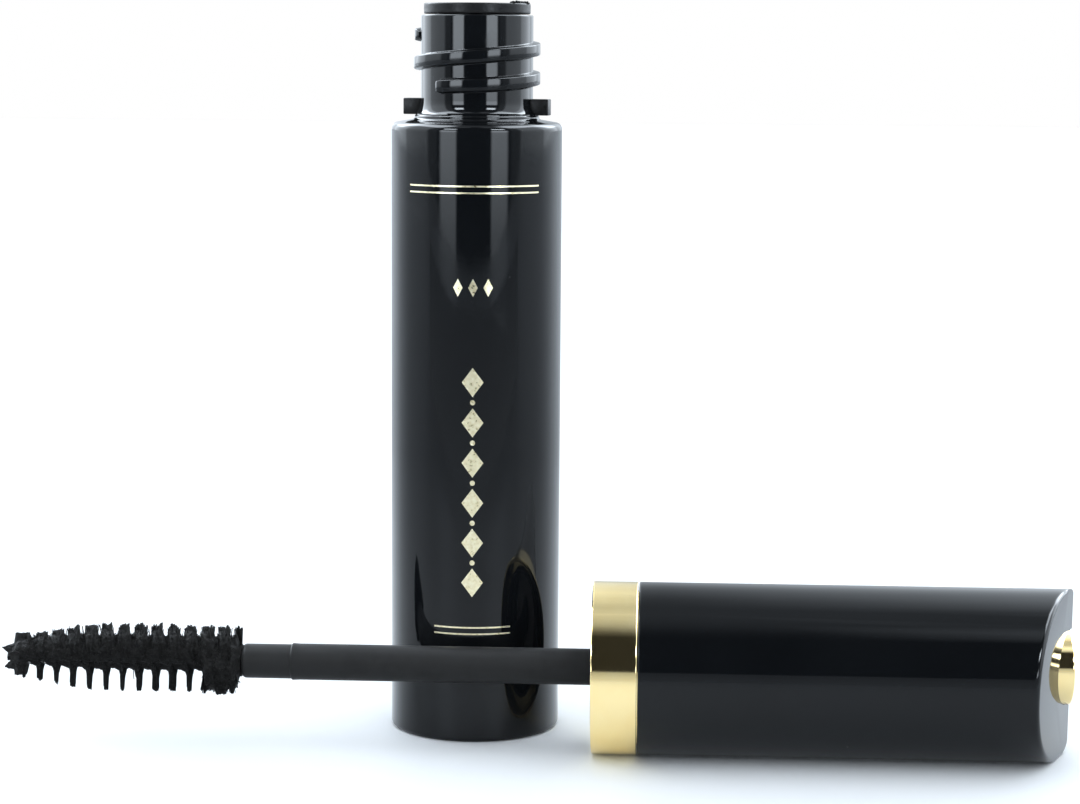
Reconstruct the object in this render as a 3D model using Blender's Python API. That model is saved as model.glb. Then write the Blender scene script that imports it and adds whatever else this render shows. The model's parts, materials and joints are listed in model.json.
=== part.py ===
"""Mascara tube, opened: the bottle stands, the cap with its wand and brush lies in front of it.

Metres, +Z up. The origin is the centre of the bottle's base. The wand's axis runs along +X,
from the brush towards the closed end of the cap.
"""

import math

import bmesh
import bpy
from mathutils import Matrix, Vector

MM = 0.001

# Bottle: blow-moulded shell, straight from its base to the shoulder
BODY_R = 9.18 * MM
BASE_EDGE_R = 0.45 * MM
SHOULDER_EDGE_R = 1.15 * MM
SHOULDER_ARC_DEG = 78.0
SHOULDER_Z = 64.90 * MM
FLOOR_T = 1.40 * MM
WALL_T = 1.15 * MM
INNER_CORNER_R = 0.80 * MM

# Neck: a low foot ring, two stop lugs and one coarse right-hand thread
NECK_R = 6.00 * MM
NECK_BORE_R = 4.65 * MM
NECK_TOP_Z = 77.40 * MM
NECK_FOOT_R = 6.70 * MM
NECK_FOOT_Z = 66.32 * MM
NECK_FOOT_H = 0.53 * MM
NECK_FLARE_R = 0.75 * MM
NECK_FLARE_Z = 67.75 * MM
THREAD_LEAD = 3.10 * MM
THREAD_CREST_R = 6.77 * MM
THREAD_ROOT_W = 1.55 * MM
THREAD_CREST_W = 1.25 * MM
THREAD_START_Z = 69.60 * MM
THREAD_START_DEG = 229.0
THREAD_SWEEP_DEG = 671.0
THREAD_BITE = 0.30 * MM
LUG_R = 7.92 * MM
LUG_W = 1.80 * MM
LUG_Z = 66.82 * MM
LUG_H = 1.72 * MM
LUG_DEG = -11.0

# Wiper: soft sleeve pressed into the neck, with a flange on the rim
WIPER_FLANGE_R = 5.70 * MM
WIPER_FLANGE_T = 1.14 * MM
WIPER_R = 4.50 * MM
WIPER_BORE_R = 3.85 * MM
WIPER_ORIFICE_R = 2.15 * MM
WIPER_CONE_Z = 71.60 * MM
WIPER_END_Z = 66.40 * MM

# Seams between pieces, and the small roundings of moulded edges
SEAM = 0.10 * MM
EASE = 0.15 * MM
LUG_EASE = 0.12 * MM

# Wand: distances along its axis are counted from the mouth of the cap
WAND_X = 13.30 * MM
WAND_Y = -11.40 * MM
WAND_Z = 9.12 * MM
ROD_R = 1.92 * MM
COLLET_R = 1.82 * MM
ROD_HEAD_A = 20.60 * MM
COLLET_A = -32.00 * MM
ROD_END_A = -36.90 * MM
WIRE_HOLE_R = 1.00 * MM
WIRE_HOLE_A = -30.40 * MM
ROD_BARB_R = 2.45 * MM
ROD_BEAD_R = 1.96 * MM
ROD_BEAD_L = 0.90 * MM

# Cap: shell with one slanted facet on its flat end, collar at the mouth, threaded insert inside
COLLAR_R = 9.10 * MM
COLLAR_W = 4.75 * MM
COLLAR_BORE_R = 8.78 * MM
COLLAR_TAIL_R = 8.15 * MM
COLLAR_TAIL_A = 9.00 * MM
COLLAR_TAIL_BORE_R = 7.50 * MM
COLLAR_STEP_A = 3.70 * MM
COLLAR_EDGE_R = 0.18 * MM
CAP_R = 9.09 * MM
CAP_END_A = 50.62 * MM
CAP_END_EDGE_R = 0.50 * MM
CAP_CAVITY_END_A = 44.80 * MM
FACET_TILT = math.radians(22.0)
FACET_ROLL = math.radians(2.7)
FACET_CHORD = 3.30 * MM
FACET_BLOCK = 30.0 * MM
CAP_SOCKET_R = 8.30 * MM
CAP_SOCKET_A = 9.30 * MM
CAP_BORE_R = 7.45 * MM
CAP_CAVITY_R = 7.00 * MM
CAP_CAVITY_A = 21.50 * MM
INSERT_R = 7.34 * MM
INSERT_BORE_R = 6.88 * MM
INSERT_MOUTH_A = 2.60 * MM
INSERT_CEILING_A = 13.20 * MM
INSERT_BACK_A = 16.00 * MM
INSERT_HUB_R = 3.60 * MM
INSERT_HUB_A = 19.40 * MM
INSERT_HUB_BORE_R = 2.05 * MM
INSERT_THREAD_CREST_R = 6.15 * MM
INSERT_THREAD_ROOT_W = 1.20 * MM
INSERT_THREAD_CREST_W = 0.80 * MM
INSERT_THREAD_A = 5.50 * MM
INSERT_THREAD_SWEEP_DEG = 600.0
STOP_DOG_A = 1.00 * MM
STOP_DOG_W = 2.40 * MM
STOP_DOG_L = 2.80 * MM
WASHER_A = 12.20 * MM
WASHER_T = 0.80 * MM
WASHER_R = 6.40 * MM
WASHER_BORE_R = 2.25 * MM

# Button: round metal peg let into the end beside the axis; the facet bares its flank
BUTTON_R = 4.00 * MM
BUTTON_OFFSET = 2.40 * MM
BUTTON_LIFT = 0.30 * MM
BUTTON_FACE_A = 50.50 * MM
BUTTON_SEAT_A = 47.40 * MM
BUTTON_EDGE_R = 0.40 * MM
BUTTON_DOME = 0.08 * MM
SPIGOT_R = 1.85 * MM
SPIGOT_L = 1.60 * MM
SPIGOT_HOLE_R = 2.05 * MM

# Brush: fibres gripped between the two legs of one twisted wire
TWIST_LEAD = 3.51 * MM
WIRE_R = 0.28 * MM
WIRE_LEG_R = 0.50 * MM
WIRE_IN_A = -31.00 * MM
WIRE_BEND_A = -62.00 * MM
BRUSH_START_A = -37.40 * MM
BRUSH_TIP_A = -62.30 * MM
BRUSH_R = 3.45 * MM
BRUSH_TIP_R = 2.35 * MM
BRUSH_TAPER_L = 9.00 * MM
FIBRE_ROWS = 155
FIBRE_WEB_W = 0.80 * MM
FIBRE_WEB_T = 0.20 * MM
FIBRE_TIP_T = 0.095 * MM
FIBRE_CLUMP = 5
FIBRE_PULL = 0.35

ROUND_SIDES = 56
INNER_SIDES = 40
ROD_SIDES = 32
THREAD_STEPS = 40
WIRE_STEPS = 10


def clear_scene():
    for ob in list(bpy.data.objects):
        bpy.data.objects.remove(ob, do_unlink=True)


def make_material(name, colour, roughness, metallic=0.0):
    mat = bpy.data.materials.new(name)
    mat.use_nodes = True
    shader = mat.node_tree.nodes["Principled BSDF"]
    shader.inputs["Base Color"].default_value = (*colour, 1.0)
    shader.inputs["Roughness"].default_value = roughness
    shader.inputs["Metallic"].default_value = metallic
    return mat


def add_object(name, bm, mat=None, parent=None):
    bmesh.ops.recalc_face_normals(bm, faces=bm.faces)
    mesh = bpy.data.meshes.new(name)
    bm.to_mesh(mesh)
    bm.free()
    mesh.shade_smooth()
    mesh.set_sharp_from_angle(angle=math.radians(32.0))
    ob = bpy.data.objects.new(name, mesh)
    bpy.context.scene.collection.objects.link(ob)
    ob.parent = parent
    if mat is not None:
        mesh.materials.append(mat)
    return ob


def arc(centre, radius, start_deg, end_deg, steps):
    points = []
    for i in range(steps + 1):
        turn = math.radians(start_deg + (end_deg - start_deg) * i / steps)
        points.append((centre[0] + radius * math.cos(turn), centre[1] + radius * math.sin(turn)))
    return points


def lathe(profile, sides):
    """Turn (radius, height) points about Z. Two end points on the axis close it with poles."""
    bm = bmesh.new()
    rings = []
    for radius, height in profile:
        if radius == 0.0:
            rings.append([bm.verts.new((0.0, 0.0, height))])
            continue
        ring = []
        for i in range(sides):
            turn = 2.0 * math.pi * i / sides
            ring.append(bm.verts.new((radius * math.cos(turn), radius * math.sin(turn), height)))
        rings.append(ring)
    pairs = list(zip(rings, rings[1:]))
    if len(rings[0]) > 1:
        pairs.append((rings[-1], rings[0]))
    for low, high in pairs:
        for i in range(sides):
            j = (i + 1) % sides
            if len(low) == 1:
                bm.faces.new((low[0], high[j], high[i]))
            elif len(high) == 1:
                bm.faces.new((low[i], low[j], high[0]))
            else:
                bm.faces.new((low[i], low[j], high[j], high[i]))
    return bm


def sweep(sections):
    """Skin a row of equal closed sections and cap both ends."""
    bm = bmesh.new()
    rings = [[bm.verts.new(point) for point in section] for section in sections]
    count = len(rings[0])
    for low, high in zip(rings, rings[1:]):
        for i in range(count):
            j = (i + 1) % count
            bm.faces.new((low[i], low[j], high[j], high[i]))
    bm.faces.new(rings[0])
    bm.faces.new(rings[-1])
    return bm


def thread_rib(root_r, crest_r, root_w, crest_w, start_z, start_deg, sweep_deg):
    """Trapezium rib on a right-hand helix; it runs in and out of the wall at its ends."""
    steps = round(THREAD_STEPS * sweep_deg / 360.0)
    fade = 4
    sections = []
    for i in range(steps + 1):
        deg = sweep_deg * i / steps
        turn = math.radians(start_deg + deg)
        z = start_z + THREAD_LEAD * deg / 360.0
        rise = min(1.0, (min(i, steps - i) + 0.6) / fade)
        crest = root_r + (crest_r - root_r) * rise
        section = []
        for radius, dz in ((root_r, -root_w), (crest, -crest_w), (crest, crest_w), (root_r, root_w)):
            section.append((radius * math.cos(turn), radius * math.sin(turn), z + 0.5 * dz))
        sections.append(section)
    return sweep(sections)


def block(r_in, r_out, width, z_low, z_high, deg):
    """Radial block standing on the neck or in the insert's mouth, edges eased."""
    bm = bmesh.new()
    size = Vector((r_out - r_in, width, z_high - z_low))
    middle = Vector((0.5 * (r_in + r_out), 0.0, 0.5 * (z_low + z_high)))
    turn = Matrix.Rotation(math.radians(deg), 4, "Z")
    place = turn @ Matrix.Translation(middle) @ Matrix.Diagonal((*size, 1.0))
    bmesh.ops.create_cube(bm, size=1.0, matrix=place)
    bmesh.ops.bevel(bm, geom=bm.edges[:], offset=LUG_EASE, segments=1, affect="EDGES")
    return bm


def operand(name, bm, parent=None):
    ob = add_object(name, bm, parent=parent)
    ob.hide_render = True
    ob.display_type = "WIRE"
    return ob


def combine(target, tools, operation):
    for tool in tools:
        mod = target.modifiers.new(tool.name, "BOOLEAN")
        mod.operation = operation
        mod.solver = "EXACT"
        mod.object = tool


def bottle_profile():
    inner_corner = BODY_R - WALL_T - INNER_CORNER_R
    shoulder_centre = (BODY_R - SHOULDER_EDGE_R, SHOULDER_Z)
    points = [(0.0, 0.0)]
    points += arc((BODY_R - BASE_EDGE_R, BASE_EDGE_R), BASE_EDGE_R, -90.0, 0.0, 4)
    points += arc(shoulder_centre, SHOULDER_EDGE_R, 0.0, SHOULDER_ARC_DEG, 6)
    points += [(NECK_FOOT_R, NECK_FOOT_Z), (NECK_FOOT_R, NECK_FOOT_Z + NECK_FOOT_H)]
    points += arc((NECK_R + NECK_FLARE_R, NECK_FLARE_Z), NECK_FLARE_R, 255.0, 180.0, 4)
    points += [(NECK_R, NECK_TOP_Z - EASE), (NECK_R - EASE, NECK_TOP_Z), (NECK_BORE_R, NECK_TOP_Z)]
    points += arc((NECK_BORE_R + EASE, SHOULDER_Z + EASE), EASE, 180.0, 270.0, 2)
    corner_z = SHOULDER_Z - 2.0 * EASE - INNER_CORNER_R
    points += arc((inner_corner, corner_z), INNER_CORNER_R, 90.0, 0.0, 4)
    points += arc((inner_corner, FLOOR_T + INNER_CORNER_R), INNER_CORNER_R, 0.0, -90.0, 3)
    points.append((0.0, FLOOR_T))
    return points


def build_bottle(gloss):
    bottle = add_object("bottle_shell", lathe(bottle_profile(), ROUND_SIDES), gloss)
    root_r = NECK_R - THREAD_BITE
    thread = thread_rib(root_r, THREAD_CREST_R, THREAD_ROOT_W, THREAD_CREST_W,
                        THREAD_START_Z, THREAD_START_DEG, THREAD_SWEEP_DEG)
    tools = [operand("neck_thread", thread)]
    for side, deg in (("right", LUG_DEG), ("left", LUG_DEG + 180.0)):
        lug = block(root_r, LUG_R, LUG_W, LUG_Z, LUG_Z + LUG_H, deg)
        tools.append(operand("stop_lug_" + side, lug))
    combine(bottle, tools, "UNION")


def build_wiper(soft):
    flange_z = NECK_TOP_Z + SEAM
    top_z = flange_z + WIPER_FLANGE_T
    wall = WIPER_R - WIPER_BORE_R
    lip_z = WIPER_END_Z + wall
    points = [(WIPER_R, flange_z)]
    points += arc((WIPER_FLANGE_R - EASE, flange_z + EASE), EASE, -90.0, 0.0, 2)
    points += arc((WIPER_FLANGE_R - 2.0 * EASE, top_z - 2.0 * EASE), 2.0 * EASE, 0.0, 90.0, 3)
    points += [(WIPER_BORE_R + wall, top_z), (WIPER_BORE_R, top_z - wall), (WIPER_BORE_R, WIPER_CONE_Z)]
    points += [(WIPER_ORIFICE_R, lip_z), (WIPER_ORIFICE_R, WIPER_END_Z)]
    points += [(WIPER_ORIFICE_R + wall - EASE, WIPER_END_Z), (WIPER_ORIFICE_R + wall, lip_z - EASE)]
    points.append((WIPER_R, WIPER_CONE_Z))
    add_object("wiper", lathe(points, INNER_SIDES), soft)


def build_collar(gold, wand):
    edge = COLLAR_EDGE_R
    points = [(COLLAR_BORE_R, 0.0)]
    points += arc((COLLAR_R - edge, edge), edge, -90.0, 0.0, 3)
    points += arc((COLLAR_R - edge, COLLAR_W - edge), edge, 0.0, 90.0, 3)
    points += [(COLLAR_TAIL_R, COLLAR_W), (COLLAR_TAIL_R, COLLAR_TAIL_A)]
    points += [(COLLAR_TAIL_BORE_R, COLLAR_TAIL_A), (COLLAR_TAIL_BORE_R, COLLAR_STEP_A)]
    points.append((COLLAR_BORE_R, COLLAR_STEP_A))
    add_object("collar_ring", lathe(points, ROUND_SIDES), gold, wand)


def button_place():
    """Where the button's axis stands, beside the wand's axis towards the facet's chord."""
    return Matrix.Rotation(FACET_ROLL, 3, "Z") @ Vector((-BUTTON_LIFT, BUTTON_OFFSET, 0.0))


def facet_block():
    """Big block whose underside is the plane of the facet."""
    bm = bmesh.new()
    rise = Matrix.Translation((0.0, 0.0, 0.5 * FACET_BLOCK))
    bmesh.ops.create_cube(bm, size=FACET_BLOCK, matrix=rise)
    return bm


def build_cap(gloss, wand):
    mouth = COLLAR_W + SEAM
    points = [(0.0, CAP_CAVITY_END_A), (CAP_CAVITY_R, CAP_CAVITY_END_A), (CAP_CAVITY_R, CAP_CAVITY_A)]
    points += [(CAP_BORE_R, CAP_CAVITY_A), (CAP_BORE_R, CAP_SOCKET_A), (CAP_SOCKET_R, CAP_SOCKET_A)]
    points += [(CAP_SOCKET_R, mouth), (CAP_R - EASE, mouth), (CAP_R, mouth + EASE)]
    points += arc((CAP_R - CAP_END_EDGE_R, CAP_END_A - CAP_END_EDGE_R), CAP_END_EDGE_R, 0.0, 90.0, 4)
    points.append((0.0, CAP_END_A))
    shell = add_object("cap_shell", lathe(points, ROUND_SIDES), gloss, wand)
    facet = operand("end_facet", facet_block(), wand)
    facet.location = (0.0, 0.0, CAP_END_A - FACET_CHORD * math.tan(FACET_TILT))
    facet.rotation_euler = (FACET_TILT, 0.0, FACET_ROLL)
    hole_low = CAP_CAVITY_END_A - CAP_END_EDGE_R
    hole_high = CAP_END_A + CAP_END_EDGE_R
    drill = [(0.0, hole_low), (SPIGOT_HOLE_R, hole_low), (SPIGOT_HOLE_R, BUTTON_SEAT_A)]
    drill += [(BUTTON_R + SEAM, BUTTON_SEAT_A), (BUTTON_R + SEAM, hole_high), (0.0, hole_high)]
    hole = operand("button_hole", lathe(drill, INNER_SIDES), wand)
    hole.location = button_place()
    combine(shell, [facet, hole], "DIFFERENCE")


def build_button(gold, wand):
    foot = BUTTON_SEAT_A + SEAM
    tail = foot - SPIGOT_L
    rim = (BUTTON_R - BUTTON_EDGE_R, BUTTON_FACE_A - BUTTON_DOME - BUTTON_EDGE_R)
    points = [(0.0, tail), (SPIGOT_R - EASE, tail), (SPIGOT_R, tail + EASE), (SPIGOT_R, foot)]
    points.append((BUTTON_R, foot))
    points += arc(rim, BUTTON_EDGE_R, 0.0, 90.0, 4)
    points.append((0.0, BUTTON_FACE_A))
    button = add_object("end_button", lathe(points, INNER_SIDES), gold, wand)
    button.location = button_place()


def build_insert(plastic, wand):
    points = [(INSERT_BORE_R + EASE, INSERT_MOUTH_A), (INSERT_R, INSERT_MOUTH_A)]
    points += [(INSERT_R, INSERT_BACK_A - EASE), (INSERT_R - EASE, INSERT_BACK_A)]
    points += [(INSERT_HUB_R, INSERT_BACK_A), (INSERT_HUB_R, INSERT_HUB_A)]
    points += [(INSERT_HUB_BORE_R, INSERT_HUB_A), (INSERT_HUB_BORE_R, INSERT_CEILING_A)]
    points += [(INSERT_BORE_R, INSERT_CEILING_A), (INSERT_BORE_R, INSERT_MOUTH_A + EASE)]
    insert = add_object("inner_cap", lathe(points, INNER_SIDES), plastic, wand)
    wall = INSERT_R - INSERT_BORE_R
    rib = thread_rib(INSERT_BORE_R + 0.5 * wall, INSERT_THREAD_CREST_R, INSERT_THREAD_ROOT_W,
                     INSERT_THREAD_CREST_W, INSERT_THREAD_A, 0.0, INSERT_THREAD_SWEEP_DEG)
    tools = [operand("insert_thread", rib, wand)]
    for side, deg in (("near", 90.0), ("far", 270.0)):
        dog = block(INSERT_BORE_R + 0.15 * wall, INSERT_R - 0.15 * wall, STOP_DOG_W,
                    STOP_DOG_A, STOP_DOG_A + STOP_DOG_L, deg)
        tools.append(operand("stop_dog_" + side, dog, wand))
    combine(insert, tools, "UNION")


def build_washer(foam, wand):
    points = [(WASHER_BORE_R, WASHER_A), (WASHER_R, WASHER_A)]
    points += [(WASHER_R, WASHER_A + WASHER_T), (WASHER_BORE_R, WASHER_A + WASHER_T)]
    add_object("sealing_washer", lathe(points, INNER_SIDES), foam, wand)


def build_rod(plastic, wand):
    points = [(0.0, WIRE_HOLE_A), (WIRE_HOLE_R, WIRE_HOLE_A), (WIRE_HOLE_R, ROD_END_A)]
    points += arc((COLLET_R - EASE, ROD_END_A + EASE), EASE, -90.0, 0.0, 3)
    points += [(COLLET_R, COLLET_A), (ROD_BEAD_R, COLLET_A + EASE), (ROD_R, COLLET_A + ROD_BEAD_L)]
    points += [(ROD_R, INSERT_HUB_A + SEAM), (ROD_BARB_R, INSERT_HUB_A + 2.0 * SEAM)]
    points += [(ROD_R, ROD_HEAD_A), (0.0, ROD_HEAD_A)]
    add_object("wand_rod", lathe(points, ROD_SIDES), plastic, wand)


def twist(a):
    return 2.0 * math.pi * (a - BRUSH_START_A) / TWIST_LEAD


def wire_path():
    """One leg down the helix, the bend round the brush's tip, and the other leg back."""
    turns = (WIRE_IN_A - WIRE_BEND_A) / TWIST_LEAD
    steps = round(turns * WIRE_STEPS)
    leg = []
    for i in range(steps + 1):
        a = WIRE_IN_A + (WIRE_BEND_A - WIRE_IN_A) * i / steps
        leg.append((WIRE_LEG_R * math.cos(twist(a)), WIRE_LEG_R * math.sin(twist(a)), a))
    end = twist(WIRE_BEND_A)
    bend = []
    for i in range(1, 8):
        turn = math.pi * i / 8
        out = WIRE_LEG_R * math.cos(turn)
        bend.append((out * math.cos(end), out * math.sin(end), WIRE_BEND_A - WIRE_LEG_R * math.sin(turn)))
    back = [(-x, -y, a) for x, y, a in reversed(leg)]
    return [Vector(point) for point in leg + bend + back]


def build_wire(steel, wand):
    path = wire_path()
    gaps = []
    for i, point in enumerate(path):
        for other in path[i + WIRE_STEPS:]:
            gaps.append((point - other).length)
    print("twisted_wire least gap to itself: %.3f mm" % ((min(gaps) - 2.0 * WIRE_R) / MM))
    sections = []
    side = Vector((0.0, 0.0, 1.0))
    for i, point in enumerate(path):
        ahead = path[min(i + 1, len(path) - 1)] - path[max(i - 1, 0)]
        along = ahead.normalized()
        side = (side - along * side.dot(along)).normalized()
        across = along.cross(side)
        section = []
        for k in range(6):
            turn = math.pi * k / 3.0
            section.append(point + WIRE_R * (math.cos(turn) * side + math.sin(turn) * across))
        sections.append(section)
    add_object("twisted_wire", sweep(sections), steel, wand)


def fibre_reach(a):
    """Brush radius: full over the length, drawn in towards the tip."""
    taper = min(1.0, (a - BRUSH_TIP_A) / BRUSH_TAPER_L)
    ease = math.sin(0.5 * math.pi * taper)
    return BRUSH_TIP_R + (BRUSH_R - BRUSH_TIP_R) * ease


def build_bristles(nylon, wand):
    """The twisted web of fibres: a helicoid strip whose two edges open into strands."""
    bm = bmesh.new()
    step = (BRUSH_START_A - BRUSH_TIP_A) / FIBRE_ROWS

    def place(a, out, lift, turn_a):
        turn = twist(turn_a) + 0.5 * math.pi
        x = out * math.cos(turn) - lift * math.sin(turn)
        y = out * math.sin(turn) + lift * math.cos(turn)
        return bm.verts.new((x, y, a))

    half = 0.5 * FIBRE_WEB_T
    rows = []
    for i in range(FIBRE_ROWS + 1):
        a = BRUSH_TIP_A + step * i
        rows.append({(s, t): place(a, s * FIBRE_WEB_W, t * half, a) for s in (-1, 0, 1) for t in (-1, 1)})
    for end in (rows[0], rows[-1]):
        bm.faces.new((end[-1, -1], end[0, -1], end[1, -1], end[1, 1], end[0, 1], end[-1, 1]))
    for i, (low, high) in enumerate(zip(rows, rows[1:])):
        for s, t in ((-1, -1), (-1, 1), (1, -1), (1, 1)):
            bm.faces.new((low[0, t], low[s, t], high[s, t], high[0, t]))
        middle = BRUSH_TIP_A + step * (i + 0.5)
        clump = (i // FIBRE_CLUMP + 0.5) * FIBRE_CLUMP - 0.5
        tip_a = middle + step * FIBRE_PULL * (clump - i)
        for s in (-1, 1):
            reach = fibre_reach(middle) * (1.0 - 0.035 * (1.0 + math.sin(2.4 * i + 1.3 * s)))
            tip = {}
            for k in (-1, 1):
                for t in (-1, 1):
                    corner_a = tip_a + 0.5 * k * FIBRE_TIP_T
                    tip[k, t] = place(corner_a, s * reach, 0.5 * t * FIBRE_TIP_T, tip_a)
            root = {(-1, -1): low[s, -1], (-1, 1): low[s, 1], (1, -1): high[s, -1], (1, 1): high[s, 1]}
            loop = ((-1, -1), (1, -1), (1, 1), (-1, 1))
            for p, q in zip(loop, loop[1:] + loop[:1]):
                bm.faces.new((root[p], root[q], tip[q], tip[p]))
            bm.faces.new([tip[p] for p in loop])
    add_object("bristles", bm, nylon, wand)


clear_scene()

gloss_black = make_material("gloss_black", (0.012, 0.013, 0.016), 0.08)
soft_black = make_material("soft_black", (0.035, 0.036, 0.038), 0.55)
rod_black = make_material("rod_black", (0.022, 0.023, 0.025), 0.42)
insert_black = make_material("insert_black", (0.030, 0.030, 0.032), 0.50)
gold_metal = make_material("gold_metal", (0.83, 0.70, 0.42), 0.16, 1.0)
washer_foam = make_material("washer_foam", (0.72, 0.71, 0.68), 0.80)
steel_wire = make_material("steel_wire", (0.56, 0.57, 0.58), 0.30, 1.0)
fibre_black = make_material("fibre_black", (0.015, 0.014, 0.016), 0.45)

wand_axis = bpy.data.objects.new("wand_axis", None)
bpy.context.scene.collection.objects.link(wand_axis)
wand_axis.location = (WAND_X, WAND_Y, WAND_Z)
wand_axis.rotation_euler = (0.0, 0.5 * math.pi, 0.0)

build_bottle(gloss_black)
build_wiper(soft_black)
build_collar(gold_metal, wand_axis)
build_cap(gloss_black, wand_axis)
build_button(gold_metal, wand_axis)
build_insert(insert_black, wand_axis)
build_washer(washer_foam, wand_axis)
build_rod(rod_black, wand_axis)
build_wire(steel_wire, wand_axis)
build_bristles(fibre_black, wand_axis)
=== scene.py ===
"""Looks of an opened mascara tube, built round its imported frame.

The bottle stands with its threaded neck and wiper open; the cap lies in front of it with its
collar, button, rod and brush. Sizes are in metres, in the frame's own axes.
"""

import json
import random
from math import cos, hypot, pi, radians, remainder, sin, sqrt, tan, tau

import bmesh
import bpy
from mathutils import Matrix, Vector, noise


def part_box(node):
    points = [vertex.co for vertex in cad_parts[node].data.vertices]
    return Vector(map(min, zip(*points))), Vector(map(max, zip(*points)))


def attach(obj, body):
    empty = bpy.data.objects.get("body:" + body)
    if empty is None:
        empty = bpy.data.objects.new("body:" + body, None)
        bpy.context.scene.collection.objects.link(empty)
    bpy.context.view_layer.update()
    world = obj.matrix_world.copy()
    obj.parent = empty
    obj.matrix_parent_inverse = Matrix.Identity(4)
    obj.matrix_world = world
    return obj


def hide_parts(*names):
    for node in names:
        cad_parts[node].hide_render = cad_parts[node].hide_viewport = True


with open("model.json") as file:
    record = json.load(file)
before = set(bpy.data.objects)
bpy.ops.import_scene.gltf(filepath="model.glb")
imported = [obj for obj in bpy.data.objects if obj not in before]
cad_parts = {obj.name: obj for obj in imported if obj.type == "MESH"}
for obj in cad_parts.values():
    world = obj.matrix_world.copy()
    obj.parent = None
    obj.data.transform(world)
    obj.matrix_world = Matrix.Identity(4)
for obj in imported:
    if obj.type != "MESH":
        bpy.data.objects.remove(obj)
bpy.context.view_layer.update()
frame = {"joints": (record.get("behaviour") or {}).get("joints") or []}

MM = 0.001
AXIS = Vector((0.0, 0.0, 1.0))
scene = bpy.context.scene

# Places and sizes read from the frame
hinge = [joint for joint in frame["joints"] if joint["name"] == "cap_turn"][0]
WAND_PLACE = Matrix.Translation(Vector(hinge["pos_m"])) @ Matrix.Rotation(0.5 * pi, 4, "Y")
PLACES = {"bottle": Matrix.Identity(4), "washer": WAND_PLACE, "wand": WAND_PLACE}
MOUTH_X = hinge["pos_m"][0]


def half_width(name):
    low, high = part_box(name)
    return 0.5 * (high.y - low.y)


def ends_along(name):
    """Where a node starts and ends along the wand, counted from the cap's mouth."""
    low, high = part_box(name)
    return low.x - MOUTH_X, high.x - MOUTH_X


BODY_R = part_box("bottle_shell")[1].x
NECK_TOP_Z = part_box("bottle_shell")[1].z
WIPER_FLANGE_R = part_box("wiper")[1].x
WIPER_TOP_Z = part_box("wiper")[1].z
WIPER_END_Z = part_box("wiper")[0].z
CAP_R = half_width("cap_shell")
CAP_MOUTH_A, CAP_END_A = ends_along("cap_shell")
COLLAR_R = half_width("collar_ring")
COLLAR_TAIL_A = ends_along("collar_ring")[1]
INSERT_R = half_width("inner_cap")
INSERT_HUB_A = ends_along("inner_cap")[1]
WASHER_R = half_width("sealing_washer")
WASHER_A = ends_along("sealing_washer")[0]
BUTTON_R = half_width("end_button")
BUTTON_FACE_A = ends_along("end_button")[1]
BUTTON_MIDDLE = 0.5 * (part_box("end_button")[0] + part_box("end_button")[1])
ROD_HEAD_A = ends_along("wand_rod")[1]
ROD_END_EXTRA = 0.36 * MM
ROD_END_A = ends_along("wand_rod")[0] - ROD_END_EXTRA
BRUSH_TIP_A, BRUSH_START_A = ends_along("bristles")

# Bottle and neck
BASE_EDGE_R = 0.45 * MM
SHOULDER_EDGE_R = 0.75 * MM
SHOULDER_ARC_DEG = 79.0
SHOULDER_Z = 65.30 * MM
WALL_T = 1.15 * MM
BASE_T = 1.40 * MM
INNER_CORNER_R = 0.80 * MM
NECK_R = 6.00 * MM
NECK_BORE_R = 4.65 * MM
NECK_FOOT_R = 6.70 * MM
NECK_FOOT_Z = 66.32 * MM
NECK_FOOT_H = 0.53 * MM
NECK_FOOT_EDGE_R = 0.26 * MM
NECK_FOOT_IN_DEG = 258.0
NECK_FOOT_OUT_DEG = 50.0
NECK_FLARE_W = 0.72 * MM
NECK_FLARE_H = 1.40 * MM
NECK_FLARE_Z = 68.30 * MM
NECK_FLARE_DEG = 80.0
EDGE_R = 0.15 * MM
LUG_R = 7.92 * MM
LUG_W = 1.80 * MM
LUG_Z = 66.82 * MM
LUG_H = 1.72 * MM
LUG_DEG = -8.0
LUG_EDGE_R = 0.10 * MM

# Threads: a coarse rib with rounded crest and filleted foot
THREAD_LEAD = 3.10 * MM
THREAD_H = 0.77 * MM
THREAD_ROOT_W = 1.50 * MM
THREAD_CREST_W = 1.28 * MM
THREAD_START_Z = 69.60 * MM
THREAD_START_DEG = 231.0
THREAD_SWEEP_DEG = 672.0
THREAD_RUN_IN_DEG = 5.0
THREAD_RUN_OUT_DEG = 8.0
THREAD_FIRST_SHARE = 0.3
THREAD_LAST_SHARE = 0.1
THREAD_LIFT = 0.25 * MM
THREAD_LIFT_DEG = 80.0
THREAD_CREST_ROUND = 0.14 * MM
THREAD_FOOT_FILLET = 0.09 * MM
THREAD_SUNK = 0.25 * MM
THREAD_STEP_DEG = 2.5
INSERT_THREAD_H = 0.73 * MM
INSERT_THREAD_A = 5.50 * MM
INSERT_THREAD_SWEEP_DEG = 600.0

# Wiper
WIPER_FLANGE_T = 1.14 * MM
WIPER_R = 4.50 * MM
WIPER_BORE_R = 3.85 * MM
WIPER_ORIFICE_R = 2.15 * MM
WIPER_CONE_Z = 71.60 * MM
CRUMB_COUNT = 16
CRUMB_R = 0.20 * MM
CRUMB_VARY = (0.5, 1.3)
CRUMB_ARC_DEG = (-42.0, 4.0)
CRUMB_INSET = (0.1 * MM, 0.9 * MM)
CRUMB_RISE = 0.15
CRUMB_SHAPE = Vector((1.3, 1.3, 0.8))
CRUMB_LUMP = 0.55
CRUMB_GRAIN = 1.3
CRUMB_LANE = 7.0
CRUMB_SEED = 3

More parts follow.
